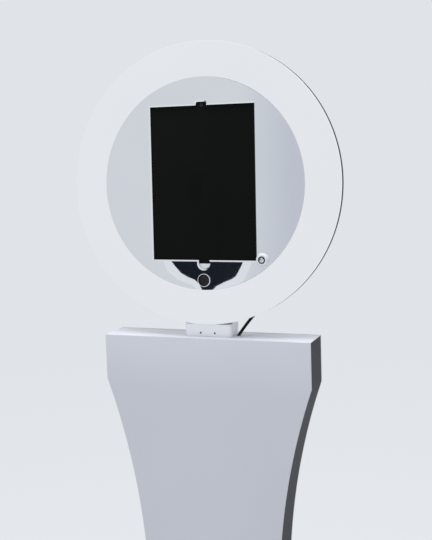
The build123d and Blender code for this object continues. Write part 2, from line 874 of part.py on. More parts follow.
save(bracket.part, "bracket")

with BuildPart() as grub_screws:
    with BuildSketch(facing_front(tongue_y - tongue_t / 2)):
        with Locations((0, neck_screw_z)):
            with GridLocations(2 * neck_screw_x, 0, 2, 1):
                Circle(screw_r)
    extrude(amount=tongue_y - tongue_t / 2 - bracket_y - 0.4)
    with BuildSketch(facing_front(bracket_y + 0.4)):
        with Locations((0, neck_screw_z)):
            with GridLocations(2 * neck_screw_x, 0, 2, 1):
                RegularPolygon(0.9, 6)
    extrude(amount=-2, mode=Mode.SUBTRACT)
save(grub_screws.part, "grub_screws")

# Tilt bolt, friction washers and the clamping knob on its right end
bolt_head_t = 5.0
bolt_head_r = 8.0
knob_gap = 0.3
knob_r = 17.0
knob_t = 14.0
bolt_end = ear_out + knob_gap + knob_t - 3
with BuildPart() as tilt_bolt:
    with BuildSketch(facing_right(-ear_out - bolt_head_t)):
        with Locations((tilt_y, tilt_z)):
            RegularPolygon(bolt_head_r, 6)
    extrude(amount=bolt_head_t)
    with BuildSketch(facing_right(-ear_out)):
        with Locations((tilt_y, tilt_z)):
            Circle(tilt_bolt_r)
    extrude(amount=ear_out + bolt_end)
save(tilt_bolt.part, "tilt_bolt")

washer_t = ear_in - lug_half_w - 2 * washer_gap
washer_r = 11.5
with BuildPart() as friction_washers:
    for start in (lug_half_w + washer_gap, -lug_half_w - washer_gap - washer_t):
        with BuildSketch(facing_right(start)):
            with Locations((tilt_y, tilt_z)):
                Circle(washer_r)
                Circle(tilt_bolt_r + run_gap, mode=Mode.SUBTRACT)
        extrude(amount=washer_t)
save(friction_washers.part, "friction_washers")

knob_lobes = 6
knob_hollow_r = 6.5        # hollows between the lobes
knob_hollow_out = 3.5
with BuildPart() as tilt_knob:
    with BuildSketch(facing_right(ear_out + knob_gap)):
        with Locations((tilt_y, tilt_z)):
            Circle(knob_r)
            with PolarLocations(knob_r + knob_hollow_out, knob_lobes):
                Circle(knob_hollow_r, mode=Mode.SUBTRACT)
    extrude(amount=knob_t)
    knob_faces = tilt_knob.faces().filter_by(Axis.X).sort_by(Axis.X)
    fillet(knob_faces[-1].edges(), 1.5)
    with BuildSketch(facing_right(ear_out + knob_gap)):
        with Locations((tilt_y, tilt_z)):
            Circle(tilt_bolt_r + run_gap)
    extrude(amount=knob_t - 2, mode=Mode.SUBTRACT)
save(tilt_knob.part, "tilt_knob")

# ================================================================ STAND
waist_z = stand_top - waist_below_top
shoulder_z = stand_top - shoulder_h
plinth_top = stand_bottom + plinth_h


def hourglass():
    """Face of the stand's front outline: straight shoulders, curved waist, straight plinth."""
    with BuildLine() as outline:
        shoulder = Line((top_half_w, stand_top), (top_half_w, shoulder_z))
        TangentArc((waist_half_w, waist_z), shoulder @ 1, tangent=(0, 1))
        lower = TangentArc((waist_half_w, waist_z), (top_half_w, plinth_top), tangent=(0, -1))
        Line(lower @ 1, (top_half_w, stand_bottom))
        mirror(about=Plane.YZ)
        Line((top_half_w, stand_bottom), (-top_half_w, stand_bottom))
        Line((top_half_w, stand_top), (-top_half_w, stand_top))
    make_face(outline.edges())


def half_width(z):
    """Half the width of the stand at this height."""
    if z >= shoulder_z or z <= plinth_top:
        return top_half_w
    reach = shoulder_z - waist_z if z > waist_z else waist_z - plinth_top
    rise = top_half_w - waist_half_w
    arc_r = (reach ** 2 + rise ** 2) / (2 * rise)
    return waist_half_w + arc_r - sqrt(arc_r ** 2 - (z - waist_z) ** 2)


with BuildPart() as front_panel:
    with BuildSketch(facing_front(-core_depth)):
        hourglass()
    extrude(amount=panel_t)
save(front_panel.part, "front_panel")

# Back panel with the door opening and the cut-out for the power inlet
inlet_z = 905.0
inlet_w = 62.0
inlet_h = 28.0
inlet_flange = 4.0
panel_screw_r = 2.0
panel_screw_zs = (60.0, 300.0, 870.0, 975.0)
with BuildPart() as back_panel:
    with BuildSketch(facing_front(half_depth)):
        hourglass()
        with Locations((0, door_z)):
            Rectangle(door_w + 2 * door_gap, door_h + 2 * door_gap, mode=Mode.SUBTRACT)
        with Locations((0, inlet_z)):
            Rectangle(inlet_w + 2 * seat_gap, inlet_h + 2 * seat_gap, mode=Mode.SUBTRACT)
        for z in panel_screw_zs:
            with Locations((0, z)):
                with GridLocations(2 * (half_width(z) - 10), 0, 2, 1):
                    Circle(panel_screw_r + run_gap, mode=Mode.SUBTRACT)
    extrude(amount=panel_t)
save(back_panel.part, "back_panel")


def side_outline(width):
    """Band of this width along the right edge of the outline, between the end plates."""
    hourglass()
    offset(amount=-width, mode=Mode.SUBTRACT)
    with Locations((-top_half_w, (stand_top + stand_bottom) / 2)):
        Rectangle(2 * top_half_w, stand_top - stand_bottom + 2, mode=Mode.SUBTRACT)
    for edge_z in (stand_top - width / 2, stand_bottom + width / 2):
        with Locations((0, edge_z)):
            Rectangle(2 * (top_half_w - width), width + 1, mode=Mode.SUBTRACT)
    with Locations((0, stand_top)):
        Rectangle(2 * top_half_w + 2, 2 * lid_rim_t, mode=Mode.SUBTRACT)


# Curved side: a bent strip with a flange along the front and the back
with BuildPart() as side_right:
    with BuildSketch(facing_front(core_depth)):
        side_outline(panel_t)
    extrude(amount=2 * core_depth)
    for flange_y in (core_depth, -core_depth + flange_t):
        with BuildSketch(facing_front(flange_y)):
            side_outline(flange_w)
            # the flange stops short of the end plates
            for edge_z in (stand_top - 10, stand_bottom + 12):
                with Locations((0, edge_z)):
                    Rectangle(2 * (top_half_w - panel_t), 30, mode=Mode.SUBTRACT)
        extrude(amount=flange_t)
    with BuildSketch(facing_front(core_depth)):
        for z in panel_screw_zs:
            with Locations((half_width(z) - 10, z)):
                Circle(panel_screw_r + run_gap)
    extrude(amount=flange_t, mode=Mode.SUBTRACT)
save(side_right.part, "side_right")

with BuildPart() as side_left:
    add(side_right.part.mirror(Plane.YZ))
save(side_left.part, "side_left")

# Screws of the back panel
panel_screw_in = 10.0
panel_head_r = 4.0
panel_head_t = 2.0
with BuildPart() as panel_screws:
    for z in panel_screw_zs:
        for side in (-1, 1):
            screw_x = side * (half_width(z) - panel_screw_in)
            with BuildSketch(facing_front(half_depth + panel_head_t)):
                with Locations((screw_x, z)):
                    Circle(panel_head_r)
            extrude(amount=panel_head_t)
            with BuildSketch(facing_front(half_depth)):
                with Locations((screw_x, z)):
                    Circle(panel_screw_r)
            extrude(amount=panel_t + flange_t + 2)
    panel_heads = panel_screws.faces().filter_by(Axis.Y).group_by(Axis.Y)[-1]
    fillet(panel_heads.edges(), 0.8)
save(panel_screws.part, "panel_screws")

# Top plate, with the slot for the tongue and the hole for the lead
grommet_x = 46.2
grommet_y = -1.4
grommet_clear = 1.5        # between the lead and the bore of its grommet
grommet_wall = 1.5
grommet_lip = 0.8
grommet_bore_r = lead_r + grommet_clear
grommet_hole_r = grommet_bore_r + grommet_wall
lead_slot_r = 9.0          # hole for the lead in the steel plate under the lid
plate_half_w = top_half_w - panel_t - seat_gap
plate_half_d = core_depth
lid_lap = panel_t + 2.0
with BuildPart() as top_plate:
    with BuildSketch(Plane.XY.offset(stand_top - panel_t)):
        Rectangle(2 * plate_half_w, 2 * plate_half_d)
        with Locations((0, tongue_y)):
            Rectangle(tongue_w + 2 * seat_gap, tongue_t + 2 * seat_gap, mode=Mode.SUBTRACT)
        with Locations((grommet_x, grommet_y)):
            Circle(grommet_hole_r + run_gap, mode=Mode.SUBTRACT)
        with Locations((0, neck_bolt_y)):
            with GridLocations(2 * neck_bolt_x, 0, 2, 1):
                Circle(neck_bolt_r + run_gap, mode=Mode.SUBTRACT)
    extrude(amount=panel_t)
    with BuildSketch(Plane.XY.offset(stand_top - lid_rim_t)):
        with GridLocations(2 * top_half_w - lid_lap, 0, 2, 1):
            Rectangle(lid_lap, 2 * plate_half_d)
    extrude(amount=lid_rim_t)
save(top_plate.part, "top_plate")

# Steel plate under it that carries the tongue of the bracket
mount_top = stand_top - panel_t
mount_bottom = mount_top - mount_plate_t
with BuildPart() as mount_plate:
    with BuildSketch(Plane.XY.offset(mount_bottom)):
        Rectangle(2 * plate_half_w, 2 * (plate_half_d - flange_t - seat_gap))
        with Locations((grommet_x - 2, grommet_y - 2)):
            Circle(lead_slot_r, mode=Mode.SUBTRACT)
        with Locations((0, neck_bolt_y)):
            with GridLocations(2 * neck_bolt_x, 0, 2, 1):
                Circle(neck_bolt_r + run_gap, mode=Mode.SUBTRACT)
    extrude(amount=mount_plate_t)
    with BuildSketch(Plane.XY.offset(mount_top)):
        with Locations((0, tongue_y)):
            Rectangle(tongue_w, tongue_t)
    extrude(amount=panel_t + tongue_h)
save(mount_plate.part, "mount_plate")

# Rubber grommet where the lead goes into the stand
with BuildPart() as lead_grommet:
    with BuildSketch(Plane.XY.offset(stand_top)):
        with Locations((grommet_x, grommet_y)):
            Circle(grommet_hole_r + grommet_lip)
    extrude(amount=grommet_lip)
    with BuildSketch(Plane.XY.offset(mount_top)):
        with Locations((grommet_x, grommet_y)):
            Circle(grommet_hole_r)
    extrude(amount=panel_t)
    with BuildSketch(Plane.XY.offset(mount_top)):
        with Locations((grommet_x, grommet_y)):
            Circle(grommet_bore_r)
    extrude(amount=panel_t + grommet_lip, mode=Mode.SUBTRACT)
save(lead_grommet.part, "lead_grommet")

# ---------------------------------------------------------------- power supply on its shelf
shelf_z = 862.0
shelf_t = 4.0
shelf_half_w = half_width(shelf_z) - panel_t - 0.6
supply_w = 130.0
supply_d = 36.0
supply_h = 64.0
supply_front_gap = 4.5
supply_y = -core_depth + supply_front_gap + supply_d / 2
supply_z = shelf_z + shelf_t
supply_back = supply_y + supply_d / 2
with BuildPart() as supply_shelf:
    with BuildSketch(Plane.XY.offset(shelf_z)):
        Rectangle(2 * shelf_half_w, 2 * (core_depth - flange_t - seat_gap))
    extrude(amount=shelf_t)
save(supply_shelf.part, "supply_shelf")

outlet_x = 36.0
outlet_y = -10.0
outlet_r = 5.0
outlet_h = 8.0
outlet_top = supply_z + supply_h + outlet_h
with BuildPart() as power_supply:
    with BuildSketch(Plane.XY.offset(supply_z)):
        with Locations((0, supply_y)):
            RectangleRounded(supply_w, supply_d, 3)
    extrude(amount=supply_h)
    with BuildSketch(Plane.XY.offset(supply_z + supply_h)):
        with Locations((outlet_x, outlet_y)):
            Circle(outlet_r)
    extrude(amount=outlet_top - supply_z - supply_h)
save(power_supply.part, "power_supply")

# Inlet module: one frame in the back panel with a mains socket and a rocker switch
inlet_rim_t = 1.5
inlet_corner = 3.0
socket_x = 13.0
socket_w = 27.0
socket_h = 19.0
socket_depth = 13.0
pin_recess = 3.0
rocker_x = -18.0
rocker_w = 12.0
rocker_r = 9.2
rocker_gap = 0.3
rocker_pivot_y = half_depth + 1.5 - 3.4
rocker_pin_r = 1.2
rocker_well_d = 12.0
with BuildPart() as power_inlet:
    with BuildSketch(facing_front(half_depth)):
        with Locations((0, inlet_z)):
            Rectangle(inlet_w, inlet_h)
    extrude(amount=half_depth - supply_back)
    with BuildSketch(facing_front(half_depth + inlet_rim_t)):
        with Locations((0, inlet_z)):
            RectangleRounded(inlet_w + 2 * inlet_flange, inlet_h + 2 * inlet_flange, inlet_corner)
    extrude(amount=inlet_rim_t)
    # mains socket
    with BuildSketch(facing_front(half_depth + inlet_rim_t)):
        with Locations((socket_x, inlet_z)):
            Rectangle(socket_w, socket_h)
    extrude(amount=socket_depth, mode=Mode.SUBTRACT)
    # well and pivot holes of the rocker
    with BuildSketch(facing_right(rocker_x - rocker_w / 2 - rocker_gap)):
        with Locations((rocker_pivot_y, inlet_z)):
            Circle(rocker_r + rocker_gap)
            with Locations((8, 0)):
                Rectangle(16, 2 * (rocker_r + rocker_gap))
    extrude(amount=rocker_w + 2 * rocker_gap, mode=Mode.SUBTRACT)
    with BuildSketch(facing_right(rocker_x - rocker_w / 2 - 2)):
        with Locations((rocker_pivot_y, inlet_z)):
            Circle(rocker_pin_r + run_gap)
    extrude(amount=rocker_w + 4, mode=Mode.SUBTRACT)
save(power_inlet.part, "power_inlet")

# Three flat pins standing in the socket
pin_w = 2.0
pin_h = 4.0
with BuildPart() as inlet_pins:
    with BuildSketch(facing_front(half_depth + inlet_rim_t - pin_recess)):
        with Locations((socket_x, inlet_z)):
            with Locations((-7, -2), (7, -2), (0, 2.2)):
                Rectangle(pin_w, pin_h)
    extrude(amount=socket_depth - pin_recess)
save(inlet_pins.part, "inlet_pins")

# Rocker: a round-bottomed key with a shallow V face, pressed in at its upper end when off
rocker_throw = 12.0
rocker_end = radians(62)
rocker_face = 3.4
rocker_plane = Plane(
    origin=(rocker_x - rocker_w / 2, rocker_pivot_y, inlet_z),
    x_dir=(0, cos(radians(rocker_throw)), sin(radians(rocker_throw))),
    z_dir=(1, 0, 0),
)
with BuildPart() as power_rocker:
    with BuildSketch(rocker_plane):
        Circle(rocker_r)
        with BuildSketch(mode=Mode.PRIVATE) as rocker_cut:
            end_u = rocker_r * cos(rocker_end)
            end_v = rocker_r * sin(rocker_end)
            with BuildLine():
                Polyline(
                    (end_u, end_v),
                    (rocker_face, 0),
                    (end_u, -end_v),
                    (rocker_r + 1, -rocker_r - 1),
                    (rocker_r + 1, rocker_r + 1),
                    close=True,
                )
            make_face()
        add(rocker_cut.sketch, mode=Mode.SUBTRACT)
        with Locations((-rocker_r, 0)):
            Rectangle(2 * (rocker_r - 3), 4 * rocker_r, mode=Mode.SUBTRACT)
    extrude(amount=rocker_w)
    with BuildSketch(facing_right(rocker_x - rocker_w / 2 - 1.8)):
        with Locations((rocker_pivot_y, inlet_z)):
            Circle(rocker_pin_r)
    extrude(amount=rocker_w + 3.6)
save(power_rocker.part, "power_rocker")

# ---------------------------------------------------------------- door in the back of the stand
latch_x = 68.0
latch_z = door_z
latch_shaft_r = 4.0
with BuildPart() as rear_door:
    with BuildSketch(facing_front(half_depth)):
        with Locations((0, door_z)):
            Rectangle(door_w, door_h)
        with Locations((latch_x, latch_z)):
            Circle(latch_shaft_r + run_gap, mode=Mode.SUBTRACT)
    extrude(amount=panel_t)
save(rear_door.part, "rear_door")

hinge_x = -door_w / 2 - door_gap / 2
knuckle_r = 4.0
knuckle_gap = 0.3
hinge_y = half_depth + knuckle_r
hinge_pin_r = 1.8
hinge_h = 60.0
hinge_zs = (door_z - 140, door_z + 140)
leaf_t = 1.5
leaf_w = 22.0
knuckle_h = hinge_h / 3


def hinge_leaf(z, side, spans):
    """One leaf of a butt hinge at this height, on the side of its pin, with its knuckles."""
    inner = knuckle_r + knuckle_gap
    with BuildSketch(facing_front(half_depth + leaf_t)) as leaf:
        with Locations((hinge_x + side * (inner + leaf_w / 2), z)):
            Rectangle(leaf_w, hinge_h)
    extrude(leaf.sketch, amount=leaf_t)
    for low, high in spans:
        with BuildSketch(Plane.XY.offset(z + low)) as knuckle:
            with Locations((hinge_x, hinge_y)):
                Circle(knuckle_r)
            with Locations((hinge_x + side * inner / 2, half_depth + leaf_t / 2)):
                Rectangle(inner, leaf_t)
            with Locations((hinge_x, hinge_y)):
                Circle(hinge_pin_r + run_gap, mode=Mode.SUBTRACT)
        extrude(knuckle.sketch, amount=high - low)


with BuildPart() as hinge_leaves_fixed:
    for z in hinge_zs:
        hinge_leaf(z, -1, ((-hinge_h / 2, -knuckle_h / 2), (knuckle_h / 2, hinge_h / 2)))
save(hinge_leaves_fixed.part, "hinge_leaves_fixed")

with BuildPart() as hinge_leaves_door:
    for z in hinge_zs:
        hinge_leaf(z, 1, ((-knuckle_h / 2 + knuckle_gap, knuckle_h / 2 - knuckle_gap),))
save(hinge_leaves_door.part, "hinge_leaves_door")

hinge_cap_t = 1.5
with BuildPart() as hinge_pins:
    for z in hinge_zs:
        with BuildSketch(Plane.XY.offset(z - hinge_h / 2)):
            with Locations((hinge_x, hinge_y)):
                Circle(hinge_pin_r)
        extrude(amount=hinge_h)
        for cap_z in (z - hinge_h / 2 - hinge_cap_t, z + hinge_h / 2):
            with BuildSketch(Plane.XY.offset(cap_z)):
                with Locations((hinge_x, hinge_y)):
                    Circle(knuckle_r * 0.75)
            extrude(amount=hinge_cap_t)
save(hinge_pins.part, "hinge_pins")

# Quarter-turn latch: a knob outside, a shaft through the door and a cam inside
latch_knob_r = 12.0
latch_knob_t = 9.0
latch_cam_y = core_depth - 3.0
latch_cam_length = 29.0
latch_cam_w = 10.0
latch_cam_t = 2.5
latch_hub_r = 6.0
latch_pocket_pitch = 13.0
latch_pocket_w = 7.5
latch_pocket_h = 22.0
latch_pocket_d = 5.0
with BuildPart() as door_latch:
    with BuildSketch(facing_front(half_depth + part_gap + latch_knob_t)):
        with Locations((latch_x, latch_z)):
            Circle(latch_knob_r)
    extrude(amount=latch_knob_t)
    latch_face = door_latch.faces().sort_by(Axis.Y)[-1]
    fillet(latch_face.edges(), 1.5)
    with BuildSketch(facing_front(half_depth + part_gap + latch_knob_t)):
        with Locations((latch_x, latch_z)):
            with GridLocations(latch_pocket_pitch, 0, 2, 1):
                Rectangle(latch_pocket_w, latch_pocket_h)
    extrude(amount=latch_pocket_d, mode=Mode.SUBTRACT)
    with BuildSketch(facing_front(half_depth + part_gap)):
        with Locations((latch_x, latch_z)):
            Circle(latch_shaft_r)
    extrude(amount=half_depth + part_gap - latch_cam_y)
    with BuildSketch(facing_front(latch_cam_y)):
        with Locations((latch_x, latch_z)):
            Circle(latch_hub_r)
            with Locations((0, -latch_cam_length / 2)):
                Rectangle(latch_cam_w, latch_cam_length)
    extrude(amount=latch_cam_t)
save(door_latch.part, "door_latch")

# ---------------------------------------------------------------- bottom, base and feet
bolt_x = 110.0
base_bolt_r = 4.0
with BuildPart() as bottom_plate:
    with BuildSketch(Plane.XY.offset(stand_bottom)):
        Rectangle(2 * plate_half_w, 2 * plate_half_d)
        with GridLocations(2 * bolt_x, 0, 2, 1):
            Circle(base_bolt_r + run_gap, mode=Mode.SUBTRACT)
    extrude(amount=bottom_plate_t)
save(bottom_plate.part, "bottom_plate")

foot_x = base_w / 2 - 34
foot_y = base_d / 2 - 34
with BuildPart() as base_plate:
    with BuildSketch(Plane.XY.offset(foot_h)):
        RectangleRounded(base_w, base_d, 24)
        with GridLocations(2 * bolt_x, 0, 2, 1):
            Circle(base_bolt_r + run_gap, mode=Mode.SUBTRACT)
        with GridLocations(2 * foot_x, 2 * foot_y, 2, 2):
            Circle(2.5 + run_gap, mode=Mode.SUBTRACT)
    extrude(amount=base_t)
    chamfer(base_plate.faces().sort_by(Axis.Z)[-1].outer_wire().edges(), 1.5)
save(base_plate.part, "base_plate")

foot_edge_r = 2.0
foot_recess_r = 7.0
foot_recess_h = 5.0
foot_bolt_r = 2.5
with BuildPart() as feet:
    with BuildSketch():
        with GridLocations(2 * foot_x, 2 * foot_y, 2, 2):
            Circle(foot_r)
    extrude(amount=foot_h)
    fillet(feet.edges().filter_by(GeomType.CIRCLE).group_by(Axis.Z)[0], foot_edge_r)
    with BuildSketch():
        with GridLocations(2 * foot_x, 2 * foot_y, 2, 2):
            Circle(foot_recess_r)
    extrude(amount=foot_recess_h, mode=Mode.SUBTRACT)
    with BuildSketch():
        with GridLocations(2 * foot_x, 2 * foot_y, 2, 2):
            Circle(foot_bolt_r + run_gap)
    extrude(amount=foot_h, mode=Mode.SUBTRACT)
save(feet.part, "feet")

# Bolts of the stand: four hold the feet, two the base and two the bracket from below
foot_head_r = 5.0
foot_head_h = 3.0
foot_head_z = 2.0
foot_bolt_z = foot_head_z + foot_head_h
base_head_r = 7.5
base_head_h = 5.0
base_bolt_end = 3.0        # how far the base bolts stand out inside the stand
neck_head_r = 5.5
neck_head_h = 4.0
neck_bolt_grip = 13.0      # length of the neck bolts inside the bracket
with BuildPart() as stand_bolts:
    with BuildSketch(Plane.XY.offset(foot_head_z)):
        with GridLocations(2 * foot_x, 2 * foot_y, 2, 2):
            Circle(foot_head_r)
    extrude(amount=foot_head_h)
    with BuildSketch(Plane.XY.offset(foot_bolt_z)):
        with GridLocations(2 * foot_x, 2 * foot_y, 2, 2):
            Circle(foot_bolt_r)
    extrude(amount=foot_h + base_t - foot_bolt_z - 0.5)
    with BuildSketch(Plane.XY.offset(foot_h - base_head_h)):
        with GridLocations(2 * bolt_x, 0, 2, 1):
            RegularPolygon(base_head_r, 6)
    extrude(amount=base_head_h)
    with BuildSketch(Plane.XY.offset(foot_h)):
        with GridLocations(2 * bolt_x, 0, 2, 1):
            Circle(base_bolt_r)
    extrude(amount=base_t + bottom_plate_t + base_bolt_end)
    with BuildSketch(Plane.XY.offset(mount_bottom - neck_head_h)):
        with Locations((0, neck_bolt_y)):
            with GridLocations(2 * neck_bolt_x, 0, 2, 1):
                RegularPolygon(neck_head_r, 6)
    extrude(amount=neck_head_h)
    with BuildSketch(Plane.XY.offset(mount_bottom)):
        with Locations((0, neck_bolt_y)):
            with GridLocations(2 * neck_bolt_x, 0, 2, 1):
                Circle(neck_bolt_r)
    extrude(amount=mount_plate_t + panel_t + neck_bolt_grip)
save(stand_bolts.part, "stand_bolts")

# ================================================================ LEAD
# From the gland on the back of the head, down behind the ring, through the grommet in the
# top plate and on to the power supply.
gland_mouth = head_point(gland_x, -gland_down, gland_back + part_gap)
lead_points = [
    Vector(gland_mouth.X, gland_mouth.Y, gland_mouth.Z),
    Vector(95, 51.5, 1083.2),
    Vector(87, 58.5, 1061),
    Vector(72, 47.5, 1041),
    Vector(60, 26.5, 1025),
    Vector(52.5, 7.5, 1011.5),
    Vector(44, -4.5, 996),
    Vector(outlet_x, outlet_y, 969),
    Vector(outlet_x, outlet_y, outlet_top),
]
lead_radii = []
for before, corner, after in zip(lead_points, lead_points[1:], lead_points[2:]):
    turn = (corner - before).get_angle(after - corner)
    shorter = min((corner - before).length, (after - corner).length)
    lead_radii.append(0.45 * shorter / tan(radians(turn / 2)))
print("lead arc radii", [round(r, 1) for r in lead_radii])
with BuildPart() as lead:
    with BuildLine() as lead_route:
        FilletPolyline(*lead_points, radius=lead_radii)
    with BuildSketch(Plane(origin=lead_route.line @ 0, z_dir=lead_route.line % 0)):
        Circle(lead_r)
    sweep()
lead_length = sum(edge.length for edge in lead_route.edges())
lead_fill = lead.part.volume / (pi * lead_r ** 2 * lead_length)
print("lead length", round(lead_length, 1), "volume ratio", round(lead_fill, 4))
save(lead.part, "lead")
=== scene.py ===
import json
from math import cos, pi, radians, sin, sqrt, tan

import bpy
from mathutils import Matrix, Vector


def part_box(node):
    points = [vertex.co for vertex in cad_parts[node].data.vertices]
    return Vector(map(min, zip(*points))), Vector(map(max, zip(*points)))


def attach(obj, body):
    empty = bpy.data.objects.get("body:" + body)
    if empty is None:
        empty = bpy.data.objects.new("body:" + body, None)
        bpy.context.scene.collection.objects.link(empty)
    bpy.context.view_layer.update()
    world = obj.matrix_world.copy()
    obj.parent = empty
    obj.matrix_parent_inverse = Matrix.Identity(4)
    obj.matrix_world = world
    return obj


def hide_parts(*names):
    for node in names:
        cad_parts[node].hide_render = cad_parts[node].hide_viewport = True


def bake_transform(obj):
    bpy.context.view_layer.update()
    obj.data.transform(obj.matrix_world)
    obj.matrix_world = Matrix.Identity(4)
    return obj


# Photo booth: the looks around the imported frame.  Metres, +Z up, the user in front at -Y.
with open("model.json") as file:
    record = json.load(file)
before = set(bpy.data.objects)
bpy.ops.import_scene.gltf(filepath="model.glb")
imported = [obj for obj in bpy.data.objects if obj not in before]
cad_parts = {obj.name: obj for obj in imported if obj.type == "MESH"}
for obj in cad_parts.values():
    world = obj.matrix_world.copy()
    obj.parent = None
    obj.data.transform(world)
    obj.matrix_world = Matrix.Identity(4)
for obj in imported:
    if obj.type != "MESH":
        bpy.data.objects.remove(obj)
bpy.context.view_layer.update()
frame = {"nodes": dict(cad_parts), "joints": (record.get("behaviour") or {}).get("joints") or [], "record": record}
record = frame["record"]
joints = {joint["name"]: joint for joint in frame["joints"]}
mm = 0.001
weld = 0.001 * mm  # points nearer than this become one

# ---------------------------------------------------------------- places taken from the frame
outward = Vector(joints["face_lift_off"]["axis"]).normalized()
head_up = Vector(joints["jaw_slide"]["axis"]).normalized()
rightward = Vector((1, 0, 0))
tilt_axis = Vector(joints["head_tilt"]["pos_m"])
tilt_down = 150 * mm
tilt_depth = 58 * mm
ring_centre = tilt_axis + tilt_down * head_up + tilt_depth * outward
# Bench to head: x to the right, y up along the mirror, z out of the mirror
head_place = Matrix.Translation(ring_centre) @ Matrix(
    (rightward, head_up, outward)
).transposed().to_4x4()
# Outer faces of the stand
back_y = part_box("back_panel")[1].y
front_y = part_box("front_panel")[0].y
stand_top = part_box("top_plate")[1].z
stand_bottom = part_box("bottom_plate")[0].z

# ---------------------------------------------------------------- driving sizes
seam = 0.15 * mm  # between the light cover and the housing behind it
ring_out_r = 216.8 * mm
ring_in_r = 163.0 * mm
cover_t = 3.0 * mm
cover_side = 8.6 * mm
shell_t = 2.5 * mm
shell_rim_back = 18.0 * mm
shell_depth = 38.0 * mm
shell_back_r = 196.0 * mm
service_r = 75.0 * mm
tablet_w = 178.5 * mm
tablet_h = 247.6 * mm
tablet_up = 1.9 * mm
glass_depth = 4.4 * mm
glass_t = 1.0 * mm
tablet_t = 6.4 * mm
tablet_corner = 18.0 * mm
button_down = 147.7 * mm
lock_x = 95.8 * mm
lock_down = 114.9 * mm
gland_x = 95.0 * mm
gland_down = 150.0 * mm
sheet_t = 3.0 * mm
stand_half_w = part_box("front_panel")[1].x
shoulder_h = 72.2 * mm
waist_half_w = 111.7 * mm
waist_below_top = 421.0 * mm
plinth_h = 60.0 * mm
shoulder_z = stand_top - shoulder_h
waist_z = stand_top - waist_below_top
plinth_top = stand_bottom + plinth_h
lead_r = 2.4 * mm


# ================================================================ WAYS OF WORKING
def select_only(piece):
    bpy.ops.object.select_all(action="DESELECT")
    piece.select_set(True)
    bpy.context.view_layer.objects.active = piece


def smooth(piece, angle=35):
    select_only(piece)
    bpy.ops.object.shade_smooth_by_angle(angle=radians(angle))


def apply(piece, modifier):
    select_only(piece)
    bpy.ops.object.modifier_apply(modifier=modifier.name)


def soften(piece, width, segments=2, angle=30):
    """Rounds every edge that is sharper than the angle."""
    edges = piece.modifiers.new("rounded edges", "BEVEL")
    edges.width = width
    edges.segments = segments
    edges.limit_method = "ANGLE"
    edges.angle_limit = radians(angle)
    apply(piece, edges)
    smooth(piece)


def even_out(piece):
    """Lets the large flat faces set the shading, so that it does not creep into them."""
    shading = piece.modifiers.new("even shading", "WEIGHTED_NORMAL")
    shading.mode = "FACE_AREA"
    shading.weight = 100
    shading.keep_sharp = True
    apply(piece, shading)


def put(piece, place):
    """Moves a bench-made piece to its place, into the mesh itself."""
    piece.data.transform(place)
    piece.data.update()
    return piece


def join(pieces, name):
    bpy.ops.object.select_all(action="DESELECT")
    for piece in pieces:
        piece.select_set(True)
    bpy.context.view_layer.objects.active = pieces[0]
    if len(pieces) > 1:
        bpy.ops.object.join()
    pieces[0].name = name
    return pieces[0]


def copies(piece, places, name):
    """One copy of a bench-made piece at each place, joined into one object."""
    made = []
    for place in places:
        twin = bpy.data.objects.new(name, piece.data.copy())
        bpy.context.scene.collection.objects.link(twin)
        made.append(put(twin, place))
    bpy.data.objects.remove(piece)
    return join(made, name)


def rounded(corners, steps=5):
    """Points of a closed outline given as corners (x, y, radius), with arcs at the corners."""
    points = []
    count = len(corners)
    for i, (x, y, radius) in enumerate(corners):
        corner = Vector((x, y))
        before = (Vector(corners[i - 1][:2]) - corner).normalized()
        after = (Vector(corners[(i + 1) % count][:2]) - corner).normalized()
        if radius == 0:
            points.append(tuple(corner))
            continue
        half = before.angle(after) / 2
        centre = corner + (before + after).normalized() * radius / sin(half)
        to_tangent = radius / tan(half)
        first = corner + before * to_tangent - centre
        last = corner + after * to_tangent - centre
        for step in range(steps + 1):
            spoke = first.normalized().slerp(last.normalized(), step / steps)
            points.append(tuple(centre + radius * spoke))
    return points


def turned(name, profile, steps=96):
    """Spins a closed profile of (radius, height) points round the bench's upright axis."""
    bpy.ops.object.select_all(action="DESELECT")
    bpy.ops.mesh.primitive_plane_add(size=1 * mm)
    piece = bpy.context.object
    piece.name = name
    bpy.ops.object.mode_set(mode="EDIT")
    bpy.ops.mesh.merge(type="CENTER")
    r_was, h_was = 0, 0
    for i, (r, h) in enumerate(list(profile) + [profile[0]]):
        step = (r - r_was, 0, h - h_was)
        if i == 0:
            bpy.ops.transform.translate(value=step)
        else:
            bpy.ops.mesh.extrude_vertices_move(TRANSFORM_OT_translate={"value": step})
        r_was, h_was = r, h
    bpy.ops.mesh.select_all(action="SELECT")
    bpy.ops.mesh.remove_doubles(threshold=weld)
    bpy.ops.mesh.select_all(action="SELECT")
    bpy.ops.mesh.spin(steps=steps, angle=2 * pi, center=(0, 0, 0), axis=(0, 0, 1))
    bpy.ops.mesh.select_all(action="SELECT")
    bpy.ops.mesh.remove_doubles(threshold=weld)
    bpy.ops.mesh.normals_make_consistent(inside=False)
    bpy.ops.object.mode_set(mode="OBJECT")
    smooth(piece)
    return piece


def plate(name, outline, thickness):
    """Lays a flat outline of (x, y) points on the bench and draws it up to a plate."""
    bpy.ops.object.select_all(action="DESELECT")
    bpy.ops.mesh.primitive_circle_add(vertices=len(outline), radius=1, fill_type="NGON")
    piece = bpy.context.object
    piece.name = name
    for corner, (x, y) in zip(piece.data.vertices, outline):
        corner.co = (x, y, 0)
    bpy.ops.object.mode_set(mode="EDIT")
    bpy.ops.mesh.select_all(action="SELECT")
    bpy.ops.mesh.extrude_region_move(TRANSFORM_OT_translate={"value": (0, 0, thickness)})
    bpy.ops.mesh.select_all(action="SELECT")
    bpy.ops.mesh.normals_make_consistent(inside=False)
    bpy.ops.object.mode_set(mode="OBJECT")
    return piece


